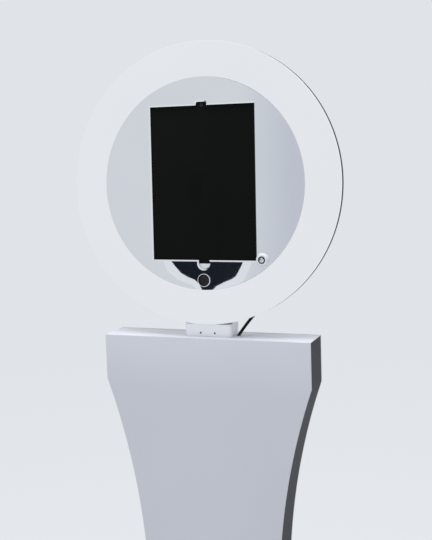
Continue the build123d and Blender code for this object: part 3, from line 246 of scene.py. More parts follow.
def trimmed(node, name, width, segments=2, angle=30):
    """A copy of a CAD node as one clean skin, with its sharp edges rounded."""
    piece = bpy.data.objects.new(name, frame["nodes"][node].data.copy())
    bpy.context.scene.collection.objects.link(piece)
    piece.data.materials.clear()
    select_only(piece)
    bpy.ops.object.mode_set(mode="EDIT")
    bpy.ops.mesh.select_all(action="SELECT")
    bpy.ops.mesh.remove_doubles(threshold=5 * weld)
    bpy.ops.object.mode_set(mode="OBJECT")
    if width:
        soften(piece, width, segments, angle)
    else:
        smooth(piece)
    even_out(piece)
    return piece


def cut(piece, tool):
    """Takes the shape of the tool out of the piece."""
    pocket = piece.modifiers.new("pocket", "BOOLEAN")
    pocket.operation = "DIFFERENCE"
    pocket.solver = "EXACT"
    pocket.object = tool
    apply(piece, pocket)
    bpy.data.objects.remove(tool)


def hand_over(piece, body, slot, *nodes):
    """Gives a finished piece its finish and its body, and lets it stand for CAD nodes."""
    if not piece.data.materials:
        piece.data.materials.append(finishes[slot])
    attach(piece, body)
    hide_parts(*nodes)
    return piece


def two_tone(piece, main, second, gets_second):
    """Gives a piece two finishes, the second one on each face that passes the test."""
    piece.data.materials.append(main)
    piece.data.materials.append(second)
    for side in piece.data.polygons:
        side.material_index = 1 if gets_second(side) else 0


# ================================================================ FINISHES
def new_finish(name):
    finish = bpy.data.materials.new(name)
    finish.use_nodes = True
    tree = finish.node_tree
    place = tree.nodes.new("ShaderNodeTexCoord").outputs["Object"]
    return finish, tree, tree.nodes["Principled BSDF"], place


def speckle(tree, place, scale, detail=3.0, stretch=(1, 1, 1)):
    """Soft noise over the piece, drawn out along an axis where stretch is small."""
    turn = tree.nodes.new("ShaderNodeMapping")
    turn.inputs["Scale"].default_value = stretch
    noise = tree.nodes.new("ShaderNodeTexNoise")
    noise.inputs["Scale"].default_value = scale
    noise.inputs["Detail"].default_value = detail
    tree.links.new(place, turn.inputs["Vector"])
    tree.links.new(turn.outputs["Vector"], noise.inputs["Vector"])
    return noise.outputs["Fac"]


def between(tree, factor, low, high):
    """Spreads the middle of a noise over the span from low to high."""
    span = tree.nodes.new("ShaderNodeMapRange")
    span.inputs["From Min"].default_value = 0.3
    span.inputs["From Max"].default_value = 0.7
    span.inputs["To Min"].default_value = low
    span.inputs["To Max"].default_value = high
    tree.links.new(factor, span.inputs["Value"])
    return span.outputs["Result"]


def blended(tree, factor, first, second):
    mix = tree.nodes.new("ShaderNodeMix")
    mix.data_type = "RGBA"
    mix.inputs["A"].default_value = (*first, 1)
    mix.inputs["B"].default_value = (*second, 1)
    tree.links.new(factor, mix.inputs["Factor"])
    return mix.outputs["Result"]


def relief(tree, shader, height, depth):
    bump = tree.nodes.new("ShaderNodeBump")
    bump.inputs["Strength"].default_value = 1.0
    bump.inputs["Distance"].default_value = depth
    tree.links.new(height, bump.inputs["Height"])
    tree.links.new(bump.outputs["Normal"], shader.inputs["Normal"])


def shaded(colour, share):
    return tuple(channel * share for channel in colour)


def powder_coat(name, colour, roughness=0.45, gloss=0.45):
    """Sprayed and baked paint: a fine orange peel and a faint unevenness of tone."""
    finish, tree, shader, place = new_finish(name)
    tone = between(tree, speckle(tree, place, 6, 2), 0, 1)
    tree.links.new(blended(tree, tone, shaded(colour, 0.965), colour), shader.inputs["Base Color"])
    peel = speckle(tree, place, 900, 2)
    tree.links.new(between(tree, peel, roughness - 0.05, roughness + 0.05),
                   shader.inputs["Roughness"])
    relief(tree, shader, peel, 0.02 * mm)
    shader.inputs["Specular IOR Level"].default_value = gloss
    return finish


def moulding(name, colour, roughness=0.55, grain=1400, depth=0.02, gloss=0.5):
    """Injection moulded plastic with a spark-eroded grain."""
    finish, tree, shader, place = new_finish(name)
    grain_of_tool = speckle(tree, place, grain, 4)
    tone = between(tree, speckle(tree, place, 15, 2), 0, 1)
    tree.links.new(blended(tree, tone, shaded(colour, 0.9), colour), shader.inputs["Base Color"])
    tree.links.new(between(tree, grain_of_tool, roughness - 0.06, roughness + 0.08),
                   shader.inputs["Roughness"])
    relief(tree, shader, grain_of_tool, depth * mm)
    shader.inputs["Specular IOR Level"].default_value = gloss
    return finish


def metal(name, colour, roughness=0.25, stretch=(1, 1, 0.04), depth=0.006):
    """Bare metal with the fine lines that its machining leaves."""
    finish, tree, shader, place = new_finish(name)
    lines = speckle(tree, place, 1500, 2, stretch)
    tree.links.new(blended(tree, between(tree, lines, 0, 1), shaded(colour, 0.88), colour),
                   shader.inputs["Base Color"])
    tree.links.new(between(tree, lines, roughness * 0.8, roughness * 1.25),
                   shader.inputs["Roughness"])
    relief(tree, shader, lines, depth * mm)
    shader.inputs["Metallic"].default_value = 1.0
    return finish


def opal_cover():
    """Frosted acrylic lit from inside: very even, with a hardly visible cloud in it."""
    finish, tree, shader, place = new_finish("opal_white")
    cloud = between(tree, speckle(tree, place, 5, 1), 0, 1)
    glow = blended(tree, cloud, (0.698, 0.721, 0.760), (0.706, 0.729, 0.768))
    tree.links.new(glow, shader.inputs["Emission Color"])
    shader.inputs["Emission Strength"].default_value = 1.0
    shader.inputs["Base Color"].default_value = (0.05, 0.05, 0.05, 1)
    shader.inputs["Specular IOR Level"].default_value = 0.25
    frost = speckle(tree, place, 1100, 2)
    tree.links.new(between(tree, frost, 0.42, 0.5), shader.inputs["Roughness"])
    relief(tree, shader, frost, 0.008 * mm)
    return finish


def silvering():
    """Mirror: silvered back of a clear sheet, with the haze that wiping leaves."""
    finish, tree, shader, place = new_finish("mirror")
    haze = between(tree, speckle(tree, place, 9, 3), 0, 1)
    tree.links.new(blended(tree, haze, (0.80, 0.815, 0.835), (0.82, 0.83, 0.85)),
                   shader.inputs["Base Color"])
    tree.links.new(between(tree, speckle(tree, place, 30, 4), 0.006, 0.02),
                   shader.inputs["Roughness"])
    shader.inputs["Metallic"].default_value = 1.0
    return finish


def polished_edge_glint():
    """Bevel of the mirror: silvered like the face but brighter, a painted highlight along the bevel, with a trace
    of the cutter's lines.
    """
    finish, tree, shader, place = new_finish("polished_edge_glint")
    lines = between(tree, speckle(tree, place, 400, 2), 0, 1)
    tree.links.new(blended(tree, lines, (0.86, 0.87, 0.885), (0.90, 0.91, 0.925)),
                   shader.inputs["Base Color"])
    tree.links.new(between(tree, lines, 0.03, 0.07), shader.inputs["Roughness"])
    shader.inputs["Metallic"].default_value = 1.0
    return finish


def screen():
    """Black cover glass with a switched-off display under it and faint wipe marks."""
    finish, tree, shader, place = new_finish("screen_glass")
    wipe = speckle(tree, place, 14, 4, (1, 1, 0.4))
    tree.links.new(blended(tree, between(tree, wipe, 0, 1), (0.0062, 0.0062, 0.0060),
                           (0.0070, 0.0070, 0.0068)), shader.inputs["Base Color"])
    tree.links.new(between(tree, wipe, 0.06, 0.16), shader.inputs["Roughness"])
    shader.inputs["Specular IOR Level"].default_value = 0.015
    return finish


def glossy(name, colour, roughness=0.12, gloss=0.5):
    """Hard, shiny plastic whose sheen varies a little."""
    finish, tree, shader, place = new_finish(name)
    tone = between(tree, speckle(tree, place, 40, 2), 0, 1)
    tree.links.new(blended(tree, tone, shaded(colour, 0.85), colour), shader.inputs["Base Color"])
    tree.links.new(between(tree, speckle(tree, place, 200, 2), roughness * 0.7, roughness * 1.3),
                   shader.inputs["Roughness"])
    shader.inputs["Specular IOR Level"].default_value = gloss
    return finish


white_paint = (0.575, 0.584, 0.63)
finishes = {
    "front_white": powder_coat("front_white", white_paint),
    "base_steel": powder_coat("base_steel", white_paint, 0.6),
    # bracket_white: the stand's white paint made brighter, painted light for the ring's glow falling on the
    # bracket
    "bracket_white": powder_coat("bracket_white", (0.93, 0.94, 0.97), 0.4),
    # side_graphite: near-black grey on the stand's side strips, painted shade for the sides of the white stand
    # that face away from the light
    "side_graphite": powder_coat("side_graphite", (0.030, 0.032, 0.039), 0.6, 0.22),
    "shell_black": moulding("shell_black", (0.016, 0.016, 0.018)),
    "opal_white": opal_cover(),
    "inner_white": moulding("inner_white", (0.74, 0.75, 0.78), 0.6),
    "mirror": silvering(),
    "screen_glass": screen(),
    "tablet_metal": metal("tablet_metal", (0.33, 0.335, 0.35), 0.4, (1, 1, 1)),
    "circuit_white": moulding("circuit_white", (0.82, 0.82, 0.79), 0.35, 300, 0.005),
    "lamp_yellow": glossy("lamp_yellow", (0.85, 0.66, 0.22), 0.3),
    "steel": metal("steel", (0.56, 0.56, 0.57), 0.32),
    "chrome": metal("chrome", (0.78, 0.79, 0.80), 0.09, (1, 1, 1), 0.001),
    # dark_steel: the housing screws' black coat, and also the painted shade on the lock's hidden faces
    "dark_steel": powder_coat("dark_steel", (0.018, 0.018, 0.02), 0.38),
    "black_plastic": moulding("black_plastic", (0.014, 0.014, 0.016), 0.45),
    "gloss_black": glossy("gloss_black", (0.005, 0.005, 0.006), 0.2, 0.3),
    "rubber": moulding("rubber", (0.014, 0.014, 0.014), 0.8, 700, 0.04),
    "cable_black": moulding("cable_black", (0.006, 0.006, 0.007), 0.6, 500, 0.01, 0.15),
    "brass": metal("brass", (0.66, 0.47, 0.18), 0.2),
}

# Every CAD node takes the finish of its slot in the record
for entry in record["subparts"]:
    skin = frame["nodes"][entry["node"]].data
    skin.materials.clear()
    skin.materials.append(finishes[entry["material_slot"]])


# ================================================================ HEAD
def make_ring_cover():
    profile = rounded([
        (ring_in_r, -cover_t, 0.3 * mm),
        (ring_in_r, 0, 0.5 * mm),
        (ring_out_r, 0, 2.0 * mm),
        (ring_out_r, -cover_side, 0.2 * mm),
        (ring_out_r - cover_t, -cover_side, 0.2 * mm),
        (ring_out_r - cover_t, -cover_t, 1.0 * mm),
    ])
    ring = turned("ring_cover", profile, 160)
    hand_over(put(ring, head_place), "head", "opal_white", "light_diffuser")


def make_rear_housing():
    inside = shell_depth - shell_t
    profile = rounded([
        (ring_out_r, -cover_side - seam, 0.4 * mm),
        (ring_out_r, -shell_rim_back, 1.5 * mm),
        (shell_back_r, -shell_depth, 7.0 * mm),
        (service_r, -shell_depth, 0.3 * mm),
        (service_r, -inside, 0.3 * mm),
        (shell_back_r - 0.6 * shell_t, -inside, 5.0 * mm),
        (ring_out_r - shell_t, -shell_rim_back + 0.4 * shell_t, 1.0 * mm),
        (ring_out_r - shell_t, -cover_side - seam, 0.2 * mm),
    ], 6)
    housing = turned("rear_housing", profile, 160)
    hand_over(put(housing, head_place), "head", "shell_black", "rear_shell")


def make_mirror_face():
    """Silvered sheet whose window has a wide bevel, cut and polished."""
    face = trimmed("mirror_panel", "mirror_face", 0)
    skin = face.data
    front = max(corner.co.dot(outward) for corner in skin.vertices)
    flat_within = 0.02 * mm
    steepest, shallowest = 0.5, 0.99

    def lies_flat(side):
        return all(front - skin.vertices[i].co.dot(outward) < flat_within for i in side.vertices)

    def is_bevel(side):
        return steepest < side.normal.dot(outward) < shallowest and not lies_flat(side)

    # the bevel faces get the brighter silver, a painted highlight along the window's edge
    two_tone(face, finishes["mirror"], polished_edge_glint(), is_bevel)
    # the front reflects as one plane, and each other face as a plane of its own
    facings = [outward] * len(skin.loops)
    for side in skin.polygons:
        if not lies_flat(side):
            for i in side.loop_indices:
                facings[i] = side.normal.copy()
    skin.normals_split_custom_set(facings)
    hand_over(face, "face", "mirror", "mirror_panel")


def rounded_slab(name, width, height, corner, thickness, edge):
    """Upright slab with round corners and softened edges, lying on the bench."""
    x, y = width / 2, height / 2
    outline = rounded([(-x, -y, corner), (x, -y, corner), (x, y, corner), (-x, y, corner)], 10)
    slab = plate(name, outline, thickness)
    soften(slab, edge, 3)
    return slab


def make_tablet():
    body = rounded_slab("tablet_case", tablet_w, tablet_h, tablet_corner, tablet_t - glass_t,
                        1.2 * mm)
    put(body, head_place @ Matrix.Translation((0, tablet_up, -glass_depth - tablet_t)))
    hand_over(body, "head", "tablet_metal", "tablet_body")
    glass = rounded_slab("tablet_front", tablet_w, tablet_h, tablet_corner, glass_t, 0.3 * mm)
    put(glass, head_place @ Matrix.Translation((0, tablet_up, -glass_depth - glass_t)))
    hand_over(glass, "head", "screen_glass", "tablet_glass")
    # camera: a black ring with a dark domed lens, seen in the tab above the window
    lens_below_edge = 5.5 * mm
    bezel_r, bezel_h, hold = 2.6 * mm, 0.12 * mm, 0.2 * mm
    lens_r = 1.95 * mm
    bore_r = lens_r + 0.05 * mm
    place = head_place @ Matrix.Translation(
        (0, tablet_up + tablet_h / 2 - lens_below_edge, -glass_depth))
    ring = turned("camera_ring", rounded([
        (bore_r, -hold, 0), (bezel_r, -hold, 0),
        (bezel_r, bezel_h, 0.1 * mm), (bore_r, bezel_h, 0.1 * mm)], 3), 48)
    put(ring, place)
    hand_over(ring, "head", "black_plastic")
    lens = turned("camera_lens", [
        (0, -0.75 * hold), (lens_r, -0.75 * hold), (lens_r, 0),
        (1.3 * mm, 0.05 * mm), (0.6 * mm, 0.08 * mm), (0, 0.09 * mm)], 32)
    put(lens, place)
    hand_over(lens, "head", "gloss_black")


def make_lock():
    """White collar round a chrome tube and plug, with painted shade on their hidden faces: dark between and behind
    them.
    """
    place = head_place @ Matrix.Translation((lock_x, -lock_down, 0))
    run_gap = 0.05 * mm
    collar_base_r, collar_top_r, collar_h = 10.6 * mm, 8.0 * mm, 6.0 * mm
    lip_t = 1.0 * mm
    tube_r, nose_r, bore_r = 7.6 * mm, 6.1 * mm, 5.4 * mm
    nose_h, tube_depth = 6.2 * mm, 17.0 * mm
    lip_h = collar_h - lip_t
    hole_r, lip_r = tube_r + run_gap, nose_r + run_gap
    collar = turned("lock_collar_cover", rounded([
        (hole_r, 0, 0), (collar_base_r, 0, 0.3 * mm), (collar_top_r, collar_h, 0.6 * mm),
        (lip_r, collar_h, 0.3 * mm), (lip_r, lip_h, 0), (hole_r, lip_h, 0)], 4), 64)
    hand_over(put(collar, place), "face", "inner_white", "lock_collar")
    barrel = turned("lock_barrel_tube", rounded([
        (bore_r, -tube_depth, 0.2 * mm), (tube_r, -tube_depth, 0.2 * mm),
        (tube_r, lip_h - run_gap, 0.1 * mm), (nose_r, lip_h - run_gap, 0.1 * mm),
        (nose_r, nose_h, 0.25 * mm), (bore_r, nose_h, 0.15 * mm)], 3), 64)
    put(barrel, place)
    # the tube's faces that do not face out are dark steel: painted shade in the gap between collar and tube
    two_tone(barrel, finishes["chrome"], finishes["dark_steel"],
             lambda side: side.normal.dot(outward) < 0.2)
    hand_over(barrel, "face", "chrome", "lock_barrel")
    core = trimmed("lock_core", "lock_plug", 0.25 * mm, 2)
    front = max(corner.co.dot(outward) for corner in core.data.vertices)
    bright_depth = 1.0 * mm
    # the plug is chrome only at its front; its deeper faces are dark steel, painted shade inside the lock
    two_tone(core, finishes["chrome"], finishes["dark_steel"],
             lambda side: front - side.center.dot(outward) > bright_depth)
    hand_over(core, "lock", "chrome", "lock_core")


def make_button():
    """Bright ring, black inside, round a black key that is dished for the finger."""
    place = head_place @ Matrix.Translation((0, -button_down, 0))
    bore_r, barrel_r, rim_r, crest_r = 8.15 * mm, 8.9 * mm, 10.3 * mm, 9.1 * mm
    rim_h, bore_h, barrel_depth = 1.2 * mm, 0.4 * mm, 12.0 * mm
    bezel = turned("button_ring", rounded([
        (bore_r, -barrel_depth, 0), (barrel_r, -barrel_depth, 0), (barrel_r, 0, 0),
        (rim_r, 0, 0.2 * mm), (rim_r, rim_h, 0.6 * mm),
        (crest_r, rim_h, 0.3 * mm), (bore_r, bore_h, 0.2 * mm)], 4), 72)
    black_inside_r = 9.3 * mm
    two_tone(bezel, finishes["chrome"], finishes["gloss_black"],
             lambda side: side.center.xy.length < black_inside_r)
    hand_over(put(bezel, place), "face", "chrome", "button_bezel")
    key_r, key_back = 8.07 * mm, 7.0 * mm
    cap = turned("button_key", [
        (0, -key_back), (key_r, -key_back), (key_r, -1.3 * mm), (7.9 * mm, -0.95 * mm),
        (7.5 * mm, -0.8 * mm), (6.6 * mm, -0.95 * mm), (4.5 * mm, -1.3 * mm),
        (2.2 * mm, -1.5 * mm), (0, -1.55 * mm)], 72)
    hand_over(put(cap, place), "button", "gloss_black", "button_cap")


make_ring_cover()
make_rear_housing()
make_mirror_face()
make_tablet()
make_lock()
make_button()


# ================================================================ FIXINGS
def cross_screw(name, head_r, head_t, shank_r, length):
    """Pan head screw with a cross recess, standing on the bench with its shank down."""
    screw = turned(name, rounded([
        (0, -length, 0), (shank_r, -length, 0.2 * shank_r), (shank_r, 0, 0),
        (head_r, 0, 0.1 * head_t), (head_r, head_t, 0.55 * head_t), (0, head_t, 0)], 4), 32)
    slot_length, slot_w, slot_depth = 1.15 * head_r, 0.28 * head_r, 0.55 * head_t
    for turn in (0, pi / 2):
        bpy.ops.object.select_all(action="DESELECT")
        bpy.ops.mesh.primitive_cube_add(size=1, location=(0, 0, head_t), rotation=(0, 0, turn),
                                        scale=(slot_length, slot_w, 2 * slot_depth))
        cut(screw, bpy.context.object)
    smooth(screw)
    return screw


def make_housing_screws():
    per_ring = 6
    head_r, head_t, shank_r = 3.0 * mm, 1.8 * mm, 1.5 * mm
    vent_plate_t = 2.0 * mm
    rings = (
        ("spacer_screws", 180.0 * mm, 30, shell_depth, 11.5 * mm),
        ("cover_screws", 79.5 * mm, 0, shell_depth + vent_plate_t, 5.0 * mm),
    )
    made = []
    for name, circle_r, first_angle, seat, length in rings:
        places = []
        for i in range(per_ring):
            angle = radians(first_angle + 360 / per_ring * i)
            spot = Matrix.Translation((circle_r * cos(angle), circle_r * sin(angle), -seat))
            driven = Matrix.Rotation(0.7 * i, 4, "Z")
            places.append(head_place @ spot @ Matrix.Rotation(pi, 4, "X") @ driven)
        screw = cross_screw(name, head_r, head_t, shank_r, length)
        made.append(copies(screw, places, name))
    hand_over(join(made, "housing_screws"), "head", "dark_steel", "back_screws")


def half_width(z):
    """Half the width of the stand at this height: an arc above the waist and one below it."""
    if z >= shoulder_z or z <= plinth_top:
        return stand_half_w
    reach = shoulder_z - waist_z if z > waist_z else waist_z - plinth_top
    rise = stand_half_w - waist_half_w
    arc_r = (reach ** 2 + rise ** 2) / (2 * rise)
    return waist_half_w + arc_r - sqrt(arc_r ** 2 - (z - waist_z) ** 2)


# Bench to a wall that faces the back: x to the left of someone who looks at it, y up
to_back = Matrix.Rotation(pi, 4, "Z") @ Matrix.Rotation(pi / 2, 4, "X")


def make_panel_screws():
    heights = (60 * mm, 300 * mm, 870 * mm, 975 * mm)
    from_edge = 10 * mm
    head_r, head_t, shank_r, length = 4.0 * mm, 2.0 * mm, 2.0 * mm, 7.0 * mm
    places = []
    for i, z in enumerate(heights):
        for side in (-1, 1):
            spot = Matrix.Translation((side * (half_width(z) - from_edge), back_y, z))
            places.append(spot @ to_back @ Matrix.Rotation(0.5 + i + side, 4, "Z"))
    screw = cross_screw("screw", head_r, head_t, shank_r, length)
    screws = copies(screw, places, "back_panel_screws")
    hand_over(screws, "stand", "steel", "panel_screws")


make_housing_screws()
make_panel_screws()


# ================================================================ KNOBS AND GLAND
def lobed(lobes, middle_r, wave, steps):
    """Round outline whose radius swells and sinks once for each lobe."""
    outline = []
    for i in range(steps):
        angle = 2 * pi * i / steps
        r = middle_r + wave * cos(lobes * angle)
        outline.append((r * cos(angle), r * sin(angle)))
    return outline


def make_tilt_knob():
    """Six-lobed clamping knob with a cap in its middle, on the right end of the tilt bolt."""
    low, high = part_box("tilt_knob")
    seat, rim = 12.2 * mm, 15.0 * mm
    hollow_r, bore_r, bore_depth = 9.2 * mm, 5.05 * mm, 11.0 * mm
    cap_r, cap_edge, cap_top = 8.6 * mm, 13.6 * mm, 13.9 * mm
    lobes, grip_r, lobe_depth = 6, 14.6 * mm, 2.3 * mm
    grip = plate("tilt_grip", lobed(lobes, grip_r, lobe_depth, 24 * lobes), high.x - low.x)
    soften(grip, 1.6 * mm, 4, 50)
    hollow = turned("hollow", rounded([
        (0, seat, 0), (hollow_r, seat, 0), (hollow_r, rim, 0), (0, rim, 0)]), 48)
    cut(grip, hollow)
    below = -1.0 * mm
    bore = turned("bore", [(0, below), (bore_r, below), (bore_r, bore_depth), (0, bore_depth)], 40)
    cut(grip, bore)
    dome = turned("tilt_cap", rounded([
        (0, seat, 0), (cap_r, seat, 0), (cap_r, cap_edge, 0.5 * mm), (0, cap_top, 0)], 4), 48)
    knob = join([grip, dome], "tilt_handle")
    bolt_end = Matrix.Translation((low.x, tilt_axis.y, tilt_axis.z))
    side_place = bolt_end @ Matrix.Rotation(pi / 2, 4, "Y")
    hand_over(put(knob, side_place), "tilt_clamp", "black_plastic", "tilt_knob")
    smooth(knob)


def make_dimmer_knob():
    """Fluted knob with a pointer line, on the back of the head."""
    dimmer_x, dimmer_down, stands_out = 70 * mm, 110 * mm, 15 * mm
    place = head_place @ Matrix.Translation((dimmer_x, -dimmer_down, -shell_depth - stands_out))
    flutes, grip_r, flute_depth, grip_t = 24, 10.15 * mm, 0.3 * mm, 14.0 * mm
    grip = plate("dimmer_grip", lobed(flutes, grip_r, flute_depth, 6 * flutes), grip_t)
    soften(grip, 0.8 * mm, 3, 60)
    pointer_w, pointer_length, pointer_out = 1.2 * mm, 5.0 * mm, 6.5 * mm
    bpy.ops.object.select_all(action="DESELECT")
    bpy.ops.mesh.primitive_cube_add(size=1, location=(0, pointer_out, 0),
                                    scale=(pointer_w, pointer_length, pointer_w))
    cut(grip, bpy.context.object)
    shaft_r, shaft_from, shaft_end = 3.0 * mm, 13.0 * mm, 22.5 * mm
    shaft = turned("dimmer_shaft", rounded([
        (0, shaft_from, 0), (shaft_r, shaft_from, 0),
        (shaft_r, shaft_end, 0.3 * mm), (0, shaft_end, 0)]), 32)
    knob = join([grip, shaft], "dimmer_grip")
    smooth(knob)
    hand_over(put(knob, place), "dimmer", "black_plastic", "dimmer_knob")


def make_gland():
    """Hexagon nut and a ribbed tapering sleeve that keeps the lead from kinking."""
    seat = head_place @ Matrix.Translation((gland_x, -gland_down, -shell_depth))
    place = seat @ Matrix.Rotation(pi, 4, "X")
    nut_r, nut_t = 7.5 * mm, 6.0 * mm
    hexagon = [(nut_r * cos(i * pi / 3), nut_r * sin(i * pi / 3)) for i in range(6)]
    nut = plate("gland_nut", hexagon, nut_t)
    soften(nut, 0.5 * mm, 2)
    ribs, rib_pitch, groove = 4, 1.2 * mm, 0.8 * mm
    widest, narrower = 5.3 * mm, 0.35 * mm
    profile = [(0, nut_t), (widest + 0.1 * mm, nut_t)]
    for i in range(ribs):
        r = widest - narrower * i
        z = nut_t + 0.4 * mm + i * rib_pitch
        profile += [(r, z), (r, z + 0.55 * rib_pitch),
                    (r - groove, z + 0.65 * rib_pitch), (r - groove, z + 0.95 * rib_pitch)]
    mouth_r, mouth_z = 3.2 * mm, 12.0 * mm
    profile += [(mouth_r + 0.4 * mm, mouth_z - 0.6 * mm), (mouth_r, mouth_z), (0, mouth_z)]
    sleeve = turned("gland_sleeve", profile, 48)
    stub_r, stub_depth, into_nut = 4.0 * mm, 5.4 * mm, 0.1 * mm
    stub = turned("gland_stub", [
        (0, -stub_depth), (stub_r, -stub_depth), (stub_r, into_nut), (0, into_nut)], 32)
    gland = join([nut, sleeve, stub], "lead_sleeve")
    hand_over(put(gland, place), "head", "black_plastic", "lead_gland")


make_tilt_knob()
make_dimmer_knob()
make_gland()


# ================================================================ STAND
def hourglass(steps=28):
    """Closed outline of the stand seen from the front: (x, height) points."""
    right = [(stand_half_w, stand_bottom), (stand_half_w, plinth_top)]
    for low, high in ((plinth_top, waist_z), (waist_z, shoulder_z)):
        for i in range(1, steps + 1):
            z = low + (high - low) * i / steps
            right.append((half_width(z), z))
    right.append((stand_half_w, stand_top))
    return right + [(-x, z) for x, z in reversed(right)]


def make_front_panel():
    panel = plate("stand_front", hourglass(), sheet_t)
    soften(panel, 0.7 * mm, 3)
    # bench up becomes front: outline in x and z, thickness from the front towards the back
    place = Matrix.Translation((0, front_y + sheet_t, 0)) @ Matrix.Rotation(pi / 2, 4, "X")
    hand_over(put(panel, place), "stand", "front_white", "front_panel")


def make_base():
    width, depth, corner = 400 * mm, 320 * mm, 24 * mm
    low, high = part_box("base_plate")
    slab = rounded_slab("floor_plate", width, depth, corner, high.z - low.z, 1.4 * mm)
    hand_over(put(slab, Matrix.Translation((0, 0, low.z))), "stand", "base_steel", "base_plate")


def make_feet():
    """Rubber feet with two grooves round them and a dished underside."""
    foot_x, foot_y = 166 * mm, 126 * mm
    foot_r, foot_h, tread_r = 18.0 * mm, 9.95 * mm, 15.5 * mm
    bolt_r, recess_r, recess_h, dish = 2.6 * mm, 5.3 * mm, 5.0 * mm, 0.8 * mm
    edge = 0.3 * mm
    foot = turned("foot", rounded([
        (recess_r, dish, edge), (recess_r + 1.7 * mm, 0, 0), (tread_r, 0, 0.8 * mm),
        (17.2 * mm, 2.0 * mm, edge), (16.6 * mm, 3.4 * mm, edge), (17.8 * mm, 4.8 * mm, edge),
        (17.0 * mm, 6.2 * mm, edge), (foot_r, 8.0 * mm, edge), (foot_r, foot_h, edge),
        (bolt_r, foot_h, 0), (bolt_r, recess_h, 0), (recess_r, recess_h, 0)], 3), 48)
    places = [Matrix.Translation((x, y, 0)) for x in (-foot_x, foot_x) for y in (-foot_y, foot_y)]
    hand_over(copies(foot, places, "floor_feet"), "stand", "rubber", "feet")


def make_trimmed_parts():
    """Parts whose CAD shape is right and that only need their edges broken."""
    # CAD node, name, body, width of the broken edges in mm, steps across them
    parts = (
        ("bracket", "tilt_bracket", "stand", 1.0, 3),
        ("tilt_lug", "head_lug", "head", 0.6, 2),
        ("tilt_bolt", "tilt_bolt_bar", "stand", 0.4, 2),
        ("lug_bolts", "lug_fixings", "head", 0.3, 2),
        ("service_cover", "vent_plate", "head", 0.35, 2),
        ("back_panel", "stand_back", "stand", 0, 0),
        ("side_left", "stand_edge_left", "stand", 0.3, 2),
        ("side_right", "stand_edge_right", "stand", 0.3, 2),
        ("top_plate", "stand_lid", "stand", 0.5, 2),
        ("rear_door", "locker_door", "door", 0.8, 3),
        ("hinge_leaves_fixed", "hinges_stand_side", "stand", 0.3, 2),
        ("hinge_leaves_door", "hinges_door_side", "door", 0.3, 2),
        ("hinge_pins", "hinge_rods", "stand", 0.3, 2),
        ("door_latch", "latch_knob", "latch", 0.5, 2),
        ("power_inlet", "inlet_frame", "stand", 0.3, 2),
        ("power_rocker", "inlet_rocker", "rocker", 0.3, 2),
        ("inlet_pins", "inlet_blades", "stand", 0.25, 2),
        ("lead_grommet", "lid_grommet", "stand", 0.3, 2),
        ("tablet_tray", "tablet_shelf", "head", 0.4, 2),
        ("top_jaw", "tablet_clamp", "jaw", 0.4, 2),
        ("led_driver", "light_driver", "head", 0.3, 2),
    )
    slots = {entry["node"]: entry["material_slot"] for entry in record["subparts"]}
    for node, name, body, width, segments in parts:
        piece = trimmed(node, name, width * mm, segments)
        hand_over(piece, body, slots[node], node)


make_front_panel()
make_base()
make_feet()
make_trimmed_parts()


# ================================================================ LEAD
def make_lead():
    """Black lead from the gland, down behind the ring and through the grommet in the lid."""
    gland_depth = 50.3 * mm
    gland_mouth = (ring_centre + gland_x * rightward - gland_down * head_up
                   - gland_depth * outward)
    route = [
        gland_mouth,
        Vector((95, 51.5, 1083.2)) * mm,
        Vector((87, 58.5, 1061)) * mm,
        Vector((72, 47.5, 1041)) * mm,
        Vector((60, 26.5, 1025)) * mm,
        Vector((52.5, 7.5, 1011.5)) * mm,
        Vector((44, -4.5, 996)) * mm,
        Vector((36, -10, 969)) * mm,
        Vector((36, -10, 938)) * mm,
    ]
    curve = bpy.data.curves.new("lead_route", "CURVE")
    curve.dimensions = "3D"
    curve.resolution_u = 16
    spline = curve.splines.new("NURBS")
    spline.points.add(len(route) - 1)
    for point, place in zip(spline.points, route):
        point.co = (*place, 1)
    spline.order_u = 3
    spline.use_endpoint_u = True
    lead = bpy.data.objects.new("head_lead", curve)
    bpy.context.scene.collection.objects.link(lead)
    line = bpy.data.meshes.new_from_object(lead)
    bpy.data.meshes.remove(line)
    curve.bevel_depth = lead_r
    curve.bevel_resolution = 6
    curve.use_fill_caps = True
    select_only(lead)
    bpy.ops.object.convert(target="MESH")
    lead = bpy.context.object
    smooth(lead, 60)
    lead.data.materials.append(finishes["cable_black"])
    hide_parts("lead")
    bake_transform(lead)


make_lead()


# ================================================================ STUDIO
def stage_card(name, outline, place, colour):
    """Flat card that only shows in reflections."""
    card = plate(name, outline, 1 * mm)
    put(card, place)
    glow = bpy.data.materials.new(name)
    glow.use_nodes = True
    shader = glow.node_tree.nodes["Principled BSDF"]
    shader.inputs["Base Color"].default_value = (0, 0, 0, 1)
    shader.inputs["Specular IOR Level"].default_value = 0
    shader.inputs["Emission Color"].default_value = (*colour, 1)
    shader.inputs["Emission Strength"].default_value = 1.0
    card.data.materials.append(glow)
    card.visible_camera = False
    card.visible_diffuse = False
    card.visible_shadow = False
    return card


wall_tone = (0.745, 0.776, 0.815)


def make_floor():
    """Plain pale floor, about as bright as the room round it, so that no horizon shows."""
    bpy.ops.object.select_all(action="DESELECT")
    bpy.ops.mesh.primitive_circle_add(vertices=96, radius=40, fill_type="NGON")
    floor = bpy.context.object
    floor.name = "studio_floor"
    # share of its brightness that the floor gets from the lamps
    own_share = 0.12
    tone = bpy.data.materials.new("studio_floor")
    tone.use_nodes = True
    shader = tone.node_tree.nodes["Principled BSDF"]
    shader.inputs["Base Color"].default_value = (own_share, own_share, own_share, 1)
    shader.inputs["Roughness"].default_value = 1.0
    shader.inputs["Specular IOR Level"].default_value = 0
    shader.inputs["Emission Color"].default_value = (*wall_tone, 1)
    shader.inputs["Emission Strength"].default_value = 1 - own_share
    floor.data.materials.append(tone)


def make_world():
    world = bpy.data.worlds.new("studio")
    world.use_nodes = True
    sky = world.node_tree.nodes["Background"]
    sky.inputs["Color"].default_value = (*wall_tone, 1)
    sky.inputs["Strength"].default_value = 1.0
    bpy.context.scene.world = world


